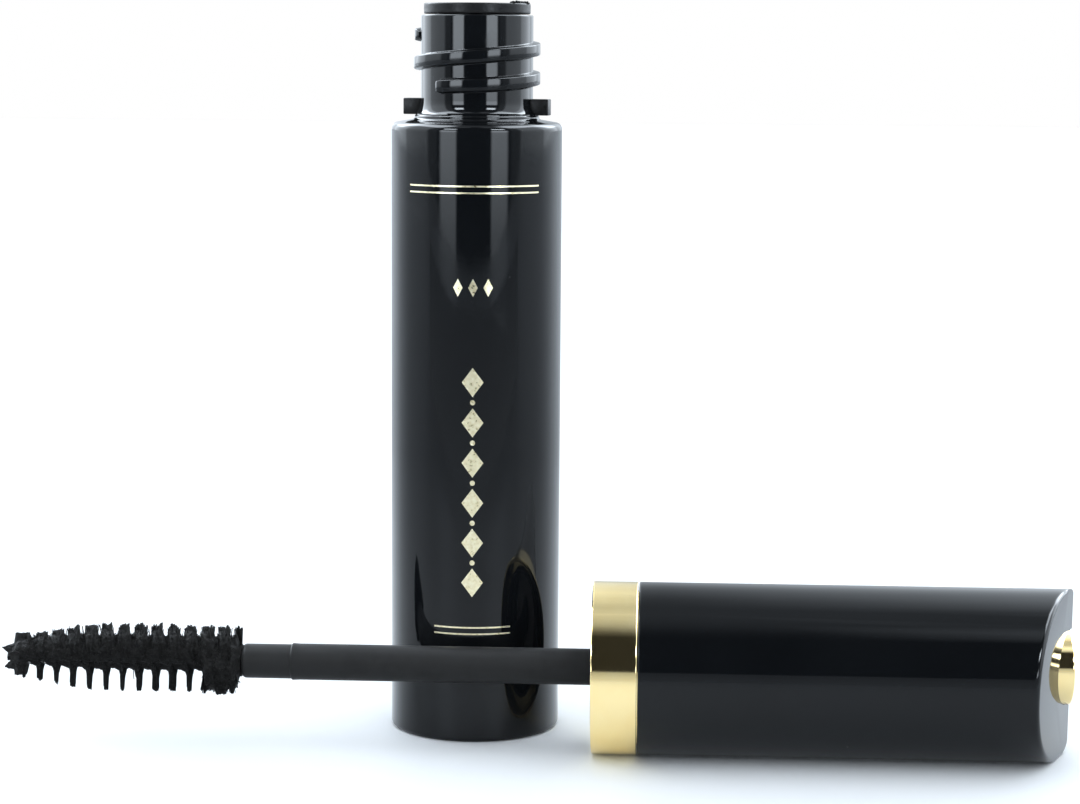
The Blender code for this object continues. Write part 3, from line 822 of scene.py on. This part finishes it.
COMB_FIBRES = 7
COMB_A = -38.90 * MM
COMB_STEP = 0.26 * MM
COMB_REACH = (0.92, 1.02)
COMB_JITTER = 0.12
COMB_LEAN = 0.1 * MM
HAIRS = 3600
HAIR_L = 0.46 * MM
HAIR_VARY = (0.5, 1.3)
HAIR_R = 0.034 * MM
HAIR_ROOT_R = 1.3 * HAIR_R
HAIR_SUNK = 0.15 * MM
HAIR_LEAN = 0.10
HAIR_DRIFT = 0.10 * MM
HAIR_BEND = 0.3
HAIR_SEED = 11
HAIRLESS_COS = 0.45

# Coat of product; a pair is where a change starts and where it is complete
COAT_LOW_R = 0.98 * MM
COAT_FALL = 0.50 * MM
COAT_VALLEY_R = 2.40 * MM
COAT_VALLEY_TAPER = 0.45
COAT_FRONT_R = 2.50 * MM
COAT_FRONT_TAPER = 0.7
COAT_RIDGE_R = 3.05 * MM
COAT_RIDGE = (0.92, 0.50)
COAT_ABOVE = (-0.15, -0.75)
COAT_ARCH = (0.60, -0.25)
COAT_LUMP = 0.15 * MM
COAT_LUMP_SIZE = 0.55 * MM
COAT_ROUGH = 0.10 * MM
COAT_ROUGH_SIZE = 0.16 * MM
COAT_ROUGH_FRACTAL = (0.8, 2.1, 3)
COAT_END_R = 1.66 * MM
COAT_END = (-0.25 * MM, 0.35 * MM)
COAT_TIP_R = 0.45 * MM
COAT_TIP = (-0.3 * MM, 1.3 * MM)
COAT_TIP_OVER = 0.20 * MM
COAT_ROD_GAP = 0.02 * MM
COAT_AROUND = 200
COAT_ALONG = 400
COAT_SHARP_DEG = 60.0
LOADED_A = -41.30 * MM
LOADED_END_A = -37.85 * MM
LOADED_R = 3.05 * MM
LOADED_RISE = (-0.10 * MM, 0.45 * MM)
LOADED_BELOW = (-0.40, 0.30)

# Glued clumps: direction; then place on the axis, radius and half widths in mm, at root and at tip
STAR_L = 2.20 * MM
STAR_COVER = 0.8
CLUMP_STEPS = 22
CLUMP_AROUND = 28
FURROW_RATE = 2.2
FURROW_SLIP = 0.16 * MM
FURROW_DEPTH = 0.30
CLUMPS = ((UP, (-61.00, 0.5, 0.95, 1.10), (-61.04, 2.46, 0.74, 0.55)),
          (UP, (-61.00, 0.6, 1.15, 1.10), (-63.17, 0.96, 0.05, 0.05)),
          (DOWN, (-61.05, 0.5, 0.85, 1.00), (-61.07, 1.90, 0.60, 0.50)),
          (DOWN, (-61.00, 0.6, 1.05, 1.00), (-62.80, 1.12, 0.05, 0.05)),
          (NEAR, (-60.90, 0.5, 0.90, 1.00), (-61.30, 1.90, 0.55, 0.50)),
          (NEAR, (-61.00, 0.4, 1.00, 1.00), (-62.05, 0.80, 0.20, 0.20)),
          (FAR, (-60.90, 0.5, 0.90, 1.00), (-61.30, 1.90, 0.55, 0.50)),
          (FAR, (-61.00, 0.4, 1.00, 1.00), (-62.05, 0.80, 0.20, 0.20)),
          (DOWN, (-40.55, 1.2, 0.70, 0.80), (-41.28, 3.52, 0.09, 0.16)),
          (DOWN, (-39.55, 1.2, 0.90, 1.00), (-39.50, 3.58, 0.52, 0.30)),
          (DOWN, (-38.60, 1.2, 0.70, 0.90), (-38.22, 3.50, 0.14, 0.22)),
          (LOW_NEAR, (-39.80, 1.2, 0.90, 0.90), (-40.20, 3.35, 0.40, 0.30)),
          (LOW_NEAR, (-38.90, 1.2, 0.80, 0.90), (-38.70, 3.35, 0.35, 0.30)))


def coat_radius(turn, a):
    """How far the product reaches: in ridges along the fibre web above, thin with arches below."""
    below = cos(turn - SPIKE_TURN)
    row = ((twist(a) - SPIKE_TURN) / pi) % 1.0
    web = abs(remainder(turn - twist(a), pi)) / (0.5 * pi)
    low = COAT_LOW_R + COAT_FALL * row * row
    taper = reach(a) / BRUSH_R
    valley = COAT_VALLEY_R * taper ** COAT_VALLEY_TAPER
    above = valley + (COAT_RIDGE_R * taper - valley) * ease(web, *COAT_RIDGE)
    front = COAT_FRONT_R * taper ** COAT_FRONT_TAPER
    high = front + (above - front) * ease(below, *COAT_ABOVE)
    radius = low * taper + (high - low * taper) * ease(below, *COAT_ARCH)
    loaded = ease(a - LOADED_A, *LOADED_RISE)
    radius += (LOADED_R - radius) * loaded * ease(below, *LOADED_BELOW)
    radius += (COAT_END_R - radius) * ease(a - LOADED_END_A, *COAT_END)
    tip = ease(a - BRUSH_TIP_A, *COAT_TIP)
    return COAT_TIP_R + (radius - COAT_TIP_R) * tip


def roughened(point):
    """Push a point of the product out or in, in lumps and in a finer crumbly grain."""
    out = Vector((point.x, point.y, 0.0)).normalized()
    push = COAT_LUMP * noise.noise(point / COAT_LUMP_SIZE)
    push += COAT_ROUGH * noise.fractal(point / COAT_ROUGH_SIZE, *COAT_ROUGH_FRACTAL)
    return point + out * push


def build_coat(mat):
    """Lumpy product round the wire, one closed skin that reaches the end of the rod."""
    start = BRUSH_TIP_A - COAT_TIP_OVER
    end = ROD_END_A - COAT_ROD_GAP
    sections = []
    for i in range(COAT_ALONG + 1):
        a = start + (end - start) * i / COAT_ALONG
        smooth = [polar(coat_radius(turn, a), turn, a) for turn in turns(COAT_AROUND)]
        sections.append([roughened(point) for point in smooth])
    bm = skin(bmesh.new(), sections)
    dress("brush_coat", bm, mat, "wand", "fibre_black", sharp_deg=COAT_SHARP_DEG)


def clump(bm, turn, root, tip):
    """Lump of glued fibres from a root to a tip, ragged at its end."""
    out = Vector((cos(turn), sin(turn), 0.0))
    start = (out * root[1] + AXIS * root[0]) * MM
    finish = (out * tip[1] + AXIS * tip[0]) * MM
    along = (finish - start).normalized()
    wide = (AXIS - along * AXIS.dot(along)).normalized()
    thick = along.cross(wide)
    sections = []
    for i in range(CLUMP_STEPS + 1):
        share = i / CLUMP_STEPS
        middle = start.lerp(finish, share)
        half_w = (root[2] + (tip[2] - root[2]) * share) * MM
        half_t = (root[3] + (tip[3] - root[3]) * share) * MM
        section = []
        for spin in turns(CLUMP_AROUND):
            out_by = wide * half_w * cos(spin) + thick * half_t * sin(spin)
            furrow = noise.noise(polar(FURROW_RATE, spin, turn + tip[0]))
            out_by += along * FURROW_SLIP * furrow * share
            section.append(roughened(middle + out_by * (1.0 + FURROW_DEPTH * furrow)))
        sections.append(section)
    skin(bm, sections)


def build_clumps(mat):
    """Clumps of fibres and product: the star at the tip and the rags of the loaded end."""
    bm = bmesh.new()
    for degrees, root, tip in CLUMPS:
        clump(bm, radians(degrees), root, tip)
    dress("brush_clumps", bm, mat, "wand", "fibre_black", sharp_deg=COAT_SHARP_DEG)


def spike_path(a, turn, phase, rng):
    """A wet fibre below, drawn with its neighbours into one hanging spike."""
    home_a = a - phase * TWIST_LEAD / tau
    row = round(2.0 * (SPIKE_LAST_A - home_a) / TWIST_LEAD)
    spread = SPIKE_SPREAD[max(0, min(row, len(SPIKE_SPREAD) - 1))] * MM
    length = reach(a) * SPIKE_REACH * (SPIKE_LONGEST - SPIKE_RAGGED * sqrt(rng.random()))
    tip_turn = SPIKE_TURN + SPIKE_FAN * phase + rng.gauss(0.0, SPIKE_JITTER)
    drawn_a = home_a + SPIKE_KEPT_SHIFT * (a - home_a)
    tip_a = drawn_a + rng.uniform(-SPIKE_THICK, SPIKE_THICK) * spread
    bend_turn = turn - SPIKE_BEND_TURN * phase
    bend_a = drawn_a + 0.5 * (tip_a - home_a)
    bend = polar(SPIKE_BEND_R * length, bend_turn, bend_a)
    return [polar(FIBRE_GRIP_R, turn, a), bend, polar(length, tip_turn, tip_a)]


def tuft_path(a, turn, phase, rng):
    """A fibre that stands free, drawn to its tuft and its cell; fixed numbers pick lanes of noise."""
    from_top = remainder(phase - pi, tau)
    row = round((twist(a) - SPIKE_TURN) / pi - 0.5)
    wider = TUFT_VARY * noise.noise(Vector((1.71 * row, 2.3, 0.4)))
    taller = noise.noise(Vector((1.37 * row, 7.9, 0.2)))
    tuft = ease(abs(from_top), TUFT_OUTER + wider, TUFT_INNER + wider)
    cell = round(a / CELL_L + CELL_JITTER * noise.noise(Vector((a / CELL_L, 0.0, 3.0))))
    shift = cell * CELL_L - a
    tall = noise.noise(Vector((1.37 * cell, 5.0 * cos(turn), 0.0)))
    share = TUFT_REACH * (TUFT_EDGE_REACH + (1.0 - TUFT_EDGE_REACH) * tuft)
    share += TUFT_CELL_RISE * tall + TUFT_ROW_RISE * taller - TUFT_RAGGED * rng.random()
    length = reach(a) * share
    gathered = tuft * rng.uniform(*TUFT_GATHER) * from_top
    tip_turn = turn - gathered + pi * shift / TWIST_LEAD + rng.gauss(0.0, TUFT_JITTER)
    tip_a = a + CELL_PULL * shift + rng.gauss(0.0, TUFT_DRIFT)
    if rng.random() < STRAY_SHARE:
        tip_turn += rng.uniform(-STRAY_TURN, STRAY_TURN)
        tip_a += rng.uniform(-STRAY_SHIFT, STRAY_SHIFT)
    bend_turn = turn + TUFT_BEND_SHARE * (tip_turn - turn)
    bend_a = a + TUFT_BEND_SHARE * (tip_a - a)
    bend = polar(TUFT_BEND_R * length, bend_turn, bend_a)
    return [polar(FIBRE_GRIP_R, turn, a), bend, polar(length, tip_turn, tip_a)]


def strand(bm, path, root_r, end_r):
    """Tapered four-sided strand along the curve of a root, a bend and a tip."""
    start, bend, end = path
    sections = []
    for share in STRAND_SHARES:
        point = start * (1.0 - share) ** 2 + bend * 2.0 * share * (1.0 - share) + end * share ** 2
        along = ((bend - start) * (1.0 - share) + (end - bend) * share).normalized()
        across = along.cross(AXIS).normalized()
        radius = root_r + (end_r - root_r) * share
        sections.append(ring(point, across, along.cross(across), radius, STRAND_SIDES))
    skin(bm, sections)


def build_fibres(mat):
    """Fibres gripped by the wire: spikes below, tufts elsewhere and a thin comb beside the rod."""
    rng = random.Random(FIBRE_SEED)
    bm = bmesh.new()
    first_a = BRUSH_TIP_A + STAR_COVER * STAR_L
    for i in range(2 * FIBRES):
        a = first_a + (BRUSH_START_A - first_a) * (i // 2 + rng.random()) / FIBRES
        turn = twist(a) + (i % 2) * pi
        phase = remainder(turn - SPIKE_TURN, tau)
        if a > LOADED_END_A and cos(phase) > BESIDE_ROD_COS:
            continue
        drawn = SPIKE_FROM < phase < SPIKE_TO and a < LOADED_A
        path = spike_path(a, turn, phase, rng) if drawn else tuft_path(a, turn, phase, rng)
        thick = rng.uniform(*FIBRE_THICK)
        strand(bm, path, thick * FIBRE_ROOT_R, thick * FIBRE_END_R)
    for i in range(COMB_FIBRES):
        a = COMB_A + COMB_STEP * i
        turn = radians(UP) + rng.gauss(0.0, COMB_JITTER)
        length = reach(a) * rng.uniform(*COMB_REACH)
        tip = polar(length, turn, a + COMB_LEAN)
        path = [polar(FIBRE_GRIP_R, turn, a), polar(0.5 * length, turn, a), tip]
        strand(bm, path, FIBRE_ROOT_R, FIBRE_END_R)
    dress("brush_fibres", bm, mat, "wand", "fibre_black", "bristles", sharp_deg=FIBRE_SHARP_DEG)


def build_hairs(mat):
    """Short ends of fibres that break through the product."""
    rng = random.Random(HAIR_SEED)
    bm = bmesh.new()
    first_a = BRUSH_TIP_A + STAR_L
    for i in range(HAIRS):
        a = first_a + (LOADED_END_A - first_a) * rng.random()
        turn = rng.uniform(0.0, tau)
        r = coat_radius(turn, a) - HAIR_SUNK
        if cos(turn - SPIKE_TURN) > HAIRLESS_COS and a < LOADED_A:
            continue
        length = HAIR_L * rng.uniform(*HAIR_VARY)
        lean = rng.gauss(0.0, HAIR_LEAN)
        drift = rng.gauss(0.0, HAIR_DRIFT)
        bend = polar(r + 0.5 * length, turn + HAIR_BEND * lean, a + HAIR_BEND * drift)
        path = [polar(r, turn, a), bend, polar(r + length, turn + lean, a + drift)]
        strand(bm, path, HAIR_ROOT_R, HAIR_R)
    dress("brush_hairs", bm, mat, "wand", "fibre_black", sharp_deg=FIBRE_SHARP_DEG)


def build_crumbs(mat):
    """Dried product on the rim of the wiper."""
    rng = random.Random(CRUMB_SEED)
    bm = bmesh.new()
    for i in range(CRUMB_COUNT):
        turn = radians(rng.uniform(*CRUMB_ARC_DEG))
        radius = CRUMB_R * rng.uniform(*CRUMB_VARY)
        out = WIPER_FLANGE_R - rng.uniform(*CRUMB_INSET)
        centre = polar(out, turn, WIPER_TOP_Z + CRUMB_RISE * radius)
        lane = Vector((CRUMB_LANE * i, 0.0, 0.0))
        for vert in bmesh.ops.create_icosphere(bm, subdivisions=3, radius=radius)["verts"]:
            shove = 1.0 + CRUMB_LUMP * noise.noise(vert.co / radius * CRUMB_GRAIN + lane)
            vert.co = centre + vert.co * CRUMB_SHAPE * shove
    dress("dried_crumbs", bm, mat, "bottle", "fibre_black", sharp_deg=COAT_SHARP_DEG)


# Foil ornament on the front of the bottle: rules, lozenges and dots
FOIL_PROUD = 0.012 * MM
FOIL_SUNK = 0.020 * MM
FOIL_FRONT = radians(-88.0)
FOIL_STEP = 0.25 * MM
FOIL_THIN = 0.004 * MM
RULE_HALF_H = 0.085 * MM
WIDE_RULE_HALF_W = 7.6 * MM
WIDE_RULES_Z = (59.6 * MM, 58.9 * MM)
SHORT_RULE_HALF_W = 4.2 * MM
SHORT_RULES_Z = (12.6 * MM, 11.9 * MM)
LOZENGES = 6
LOZENGE_TOP_Z = 39.0 * MM
LOZENGE_STEP = 4.3 * MM
LOZENGE_HALF_W = 1.15 * MM
LOZENGE_HALF_H = 1.55 * MM
DOT_R = 0.28 * MM
TRIO_Z = 49.0 * MM
TRIO_STEP = 1.6 * MM
TRIO_HALF_W = 0.50 * MM
TRIO_HALF_H = 0.95 * MM


def foil_mark(bm, middle_z, half_w, half_h, shape, shift=0.0):
    """One stamped mark wrapped on the wall; shape gives its half height across it, from -1 to 1."""
    columns = max(8, round(half_w / FOIL_STEP))
    sections = []
    for i in range(columns + 1):
        u = 2.0 * i / columns - 1.0
        turn = FOIL_FRONT + (shift + u * half_w) / BODY_R
        tall = max(FOIL_THIN, half_h * shape(u))
        corners = ((-FOIL_SUNK, -tall), (FOIL_PROUD, -tall), (FOIL_PROUD, tall), (-FOIL_SUNK, tall))
        sections.append([polar(BODY_R + depth, turn, middle_z + dz) for depth, dz in corners])
    skin(bm, sections)


def build_foil(mat):
    def rule(u):
        return 1.0

    def lozenge(u):
        return 1.0 - abs(u)

    def dot(u):
        return sqrt(max(0.0, 1.0 - u * u))

    bm = bmesh.new()
    for half_w, places in ((WIDE_RULE_HALF_W, WIDE_RULES_Z), (SHORT_RULE_HALF_W, SHORT_RULES_Z)):
        for z in places:
            foil_mark(bm, z, half_w, RULE_HALF_H, rule)
    for k in range(LOZENGES):
        z = LOZENGE_TOP_Z - LOZENGE_STEP * k
        foil_mark(bm, z, LOZENGE_HALF_W, LOZENGE_HALF_H, lozenge)
        if k < LOZENGES - 1:
            foil_mark(bm, z - 0.5 * LOZENGE_STEP, DOT_R, DOT_R, dot)
    for shift in (-TRIO_STEP, 0.0, TRIO_STEP):
        foil_mark(bm, TRIO_Z, TRIO_HALF_W, TRIO_HALF_H, lozenge, shift)
    dress("foil_ornament", bm, mat, "bottle", "gold_metal")


# Camera, fitted to the photographed view
CAMERA_AT = Vector((20.55, -278.93, 74.19)) * MM
CAMERA_YAW = radians(2.783)
CAMERA_PITCH = radians(7.834)
CAMERA_ROLL = radians(0.397)
CAMERA_LENS = 86.3
CAMERA_SENSOR = 36.0
CAMERA_CLIP = 0.01


def build_camera():
    data = bpy.data.cameras.new("camera")
    data.lens = CAMERA_LENS
    data.sensor_width = CAMERA_SENSOR
    data.sensor_fit = "HORIZONTAL"
    data.clip_start = CAMERA_CLIP
    camera = bpy.data.objects.new("camera", data)
    scene.collection.objects.link(camera)
    turn = Matrix.Rotation(CAMERA_YAW, 4, "Z") @ Matrix.Rotation(0.5 * pi - CAMERA_PITCH, 4, "X")
    camera.matrix_world = Matrix.Translation(CAMERA_AT) @ turn @ Matrix.Rotation(CAMERA_ROLL, 4, "Z")
    scene.camera = camera


def panel(start, full, fading, end):
    """Stops of a light that comes up to its full level and fades again."""
    return ((start, 0.0), (full, 1.0), (fading, 1.0), (end, 0.0))


# Studio: a white floor in even light; the gloss alone shows walls, strips, boxes and lamps round it.
# Stops give degrees from the front and a level, the same on both sides; rises give degrees of height.
AMBIENT = 1.38
FLOOR_COLOUR = (0.85, 0.925, 1.0)
FLOOR_FRONT_Y = -0.60
FLOOR_HALF_W = 1.60
FLOOR_BACK_Y = 2.20
FLOOR_DROP = 0.02 * MM
FLOOR_NEAR = 0.03
FLOOR_FAR = 0.20
FLOOR_FAR_LEVEL = 0.42
REFLECTED_TINT = (0.90, 0.99, 1.08)
LIP_Y = -0.168
LIP_HALF_W = 0.30
LIP_H = 0.030
LIP_FOOT_LEVEL = 0.80
LIP_TOP_LEVEL = 0.48
WALL_LEVEL = 10.0
WALL_STOPS = ((0.0, 0.002), (48.0, 0.002), (53.0, 0.07), (63.0, 0.08), (68.0, 0.36), (104.0, 0.36),
              (108.0, 0.62), (139.0, 0.66), (145.0, 0.36), (160.0, 0.30), (172.0, 0.16), (180.0, 0.08))
WALL_RISE = ((-8.0, 0.04), (-6.2, 0.085), (-3.8, 0.29), (-2.0, 0.60), (0.0, 0.66), (6.0, 0.75),
             (16.0, 1.0), (50.0, 1.0), (57.0, 0.85), (66.0, 0.50), (74.0, 0.15), (80.0, 0.0))
STRIP_RISE = ((-8.0, 0.05), (-6.2, 0.09), (-3.8, 0.25), (-2.0, 0.50), (0.0, 0.95), (3.0, 1.0),
              (10.0, 1.0), (14.0, 0.015))
TOP_LEVEL = 0.70
TOP_RISE = ((54.0, 0.0), (60.0, 0.12), (66.0, 0.36), (72.0, 0.65), (80.0, 0.90), (89.0, 1.0))

# Level, stops and rise of the walls, strips, boxes, back corners, lamps and front light
LIGHTS = ((WALL_LEVEL, WALL_STOPS, WALL_RISE),
          (WALL_LEVEL, panel(22.0, 25.0, 44.0, 48.0), STRIP_RISE),
          (12.0, panel(56.0, 62.0, 122.0, 132.0), panel(44.0, 52.0, 70.0, 76.0)),
          (10.0, panel(118.0, 126.0, 148.0, 156.0), panel(16.0, 24.0, 44.0, 52.0)),
          (30.0, panel(24.0, 27.0, 43.0, 46.0), panel(25.0, 28.0, 35.0, 38.0)),
          (1.0, panel(8.0, 20.0, 40.0, 56.0), panel(54.0, 60.0, 68.0, 76.0)))


def ramp(tree, share, stops, start, whole):
    """Level that follows stops of (degrees, level); share runs from 0 at start to 1 at start + whole."""
    made = node(tree, "ValToRGB", {"Fac": share})
    elements = made.color_ramp.elements
    places = [(degrees - start) / whole for degrees, level in stops]
    elements[0].position = places[0]
    elements[-1].position = places[-1]
    for place in places[1:-1]:
        elements.new(place)
    for element, (degrees, level) in zip(elements, stops):
        element.color = (level, level, level, 1.0)
    return made.outputs["Color"]


def build_world():
    world = bpy.data.worlds.new("studio")
    world.use_nodes = True
    scene.world = world
    tree = world.node_tree
    tree.nodes.clear()
    path = node(tree, "LightPath")
    direction = node(tree, "TexCoord").outputs["Generated"]
    parts = node(tree, "SeparateXYZ", {"Vector": direction})
    toward = calc(tree, "MULTIPLY", parts.outputs["Y"], -1.0)
    azimuth = calc(tree, "ARCTAN2", parts.outputs["X"], toward)
    aside = calc(tree, "DIVIDE", calc(tree, "ABSOLUTE", azimuth), pi)
    height = calc(tree, "ARCSINE", parts.outputs["Z"])
    up = calc(tree, "ADD", calc(tree, "DIVIDE", height, pi), 0.5)
    level = calc(tree, "MULTIPLY", ramp(tree, up, TOP_RISE, -90.0, 180.0), TOP_LEVEL)
    for strength, stops, rise in LIGHTS:
        across = ramp(tree, aside, stops, 0.0, 180.0)
        shape = calc(tree, "MULTIPLY", across, ramp(tree, up, rise, -90.0, 180.0))
        level = calc(tree, "ADD", level, calc(tree, "MULTIPLY", shape, strength))
    mirror = calc(tree, "MAXIMUM", path.outputs["Is Glossy Ray"], path.outputs["Is Transmission Ray"])
    unseen = node(tree, "Mix", {"Factor": mirror, "A": AMBIENT, "B": level}).outputs["Result"]
    seen = node(tree, "Mix", {"Factor": path.outputs["Is Camera Ray"], "A": unseen, "B": 1.0})
    colour = tint(tree, mirror, (1.0, 1.0, 1.0), REFLECTED_TINT)
    sky = node(tree, "Background", {"Color": colour, "Strength": seen.outputs["Result"]})
    node(tree, "OutputWorld", {"Surface": sky.outputs["Background"]})


def add_sheet(name, corners, mat):
    bm = bmesh.new()
    bm.faces.new([bm.verts.new(corner) for corner in corners])
    sheet = add_piece(name, bm, Matrix.Identity(4), mat)
    return sheet


def build_floor():
    """White floor. Painted shade: for glossy rays its colour darkens with the distance from the middle,
    so what the gloss shows of it grows dimmer with the distance.
    """
    mat, tree = surface("floor_white", 0.5, specular=0.2)
    away = node(tree, "VectorMath", {0: own_place(tree)}, operation="LENGTH").outputs["Value"]
    fade = span(tree, away, 1.0, FLOOR_FAR_LEVEL, FLOOR_NEAR, FLOOR_FAR)
    path = node(tree, "LightPath")
    # painted shade: for glossy rays only, the floor's colour fades with the distance
    level = node(tree, "Mix", {"Factor": path.outputs["Is Glossy Ray"], "A": 1.0, "B": fade})
    wire_up(mat, Base_Color=tint(tree, level.outputs["Result"], (0.0, 0.0, 0.0), FLOOR_COLOUR))
    corners = ((-FLOOR_HALF_W, FLOOR_FRONT_Y), (FLOOR_HALF_W, FLOOR_FRONT_Y),
               (FLOOR_HALF_W, FLOOR_BACK_Y), (-FLOOR_HALF_W, FLOOR_BACK_Y))
    add_sheet("floor", [(x, y, -FLOOR_DROP) for x, y in corners], mat)


def build_lip():
    """Low card between the camera and the object; only the gloss shows it. Painted light: it is black
    and glows, brighter at its foot than at its top, in place of a lit grey card.
    """
    mat, tree = surface("card_grey", 0.8, specular=0.0)
    height = node(tree, "SeparateXYZ", {"Vector": own_place(tree)}).outputs["Z"]
    # painted light: the glow is stronger at the card's foot than at its top
    level = span(tree, height, LIP_FOOT_LEVEL, LIP_TOP_LEVEL, 0.0, LIP_H)
    wire_up(mat, Base_Color=(0.0, 0.0, 0.0, 1.0), Emission_Color=(*REFLECTED_TINT, 1.0))
    wire_up(mat, Emission_Strength=level)
    corners = ((-LIP_HALF_W, 0.0), (LIP_HALF_W, 0.0), (LIP_HALF_W, LIP_H), (-LIP_HALF_W, LIP_H))
    lip = add_sheet("front_card", [(x, LIP_Y, z) for x, z in corners], mat)
    for ray in ("camera", "diffuse", "shadow", "transmission"):
        setattr(lip, "visible_" + ray, False)


def build_object():
    gloss = gloss_black()
    gold = gold_metal()
    coated = coated_fibre()
    plastic = insert_black()
    soft = soft_black()
    build_bottle(gloss, soft)
    build_wiper(soft)
    build_collar(gold)
    build_lining_and_shade(plastic)
    build_cap(gloss)
    build_button(gold)
    build_insert(plastic)
    build_washer(washer_foam())
    build_rod(rod_black())
    build_wire(steel_wire())
    build_coat(coated)
    build_clumps(coated)
    build_fibres(coated)
    build_hairs(coated)
    build_crumbs(coated)
    build_foil(gold_foil())


build_object()
build_camera()
build_world()
build_floor()
build_lip()
scene.view_settings.view_transform = "Standard"
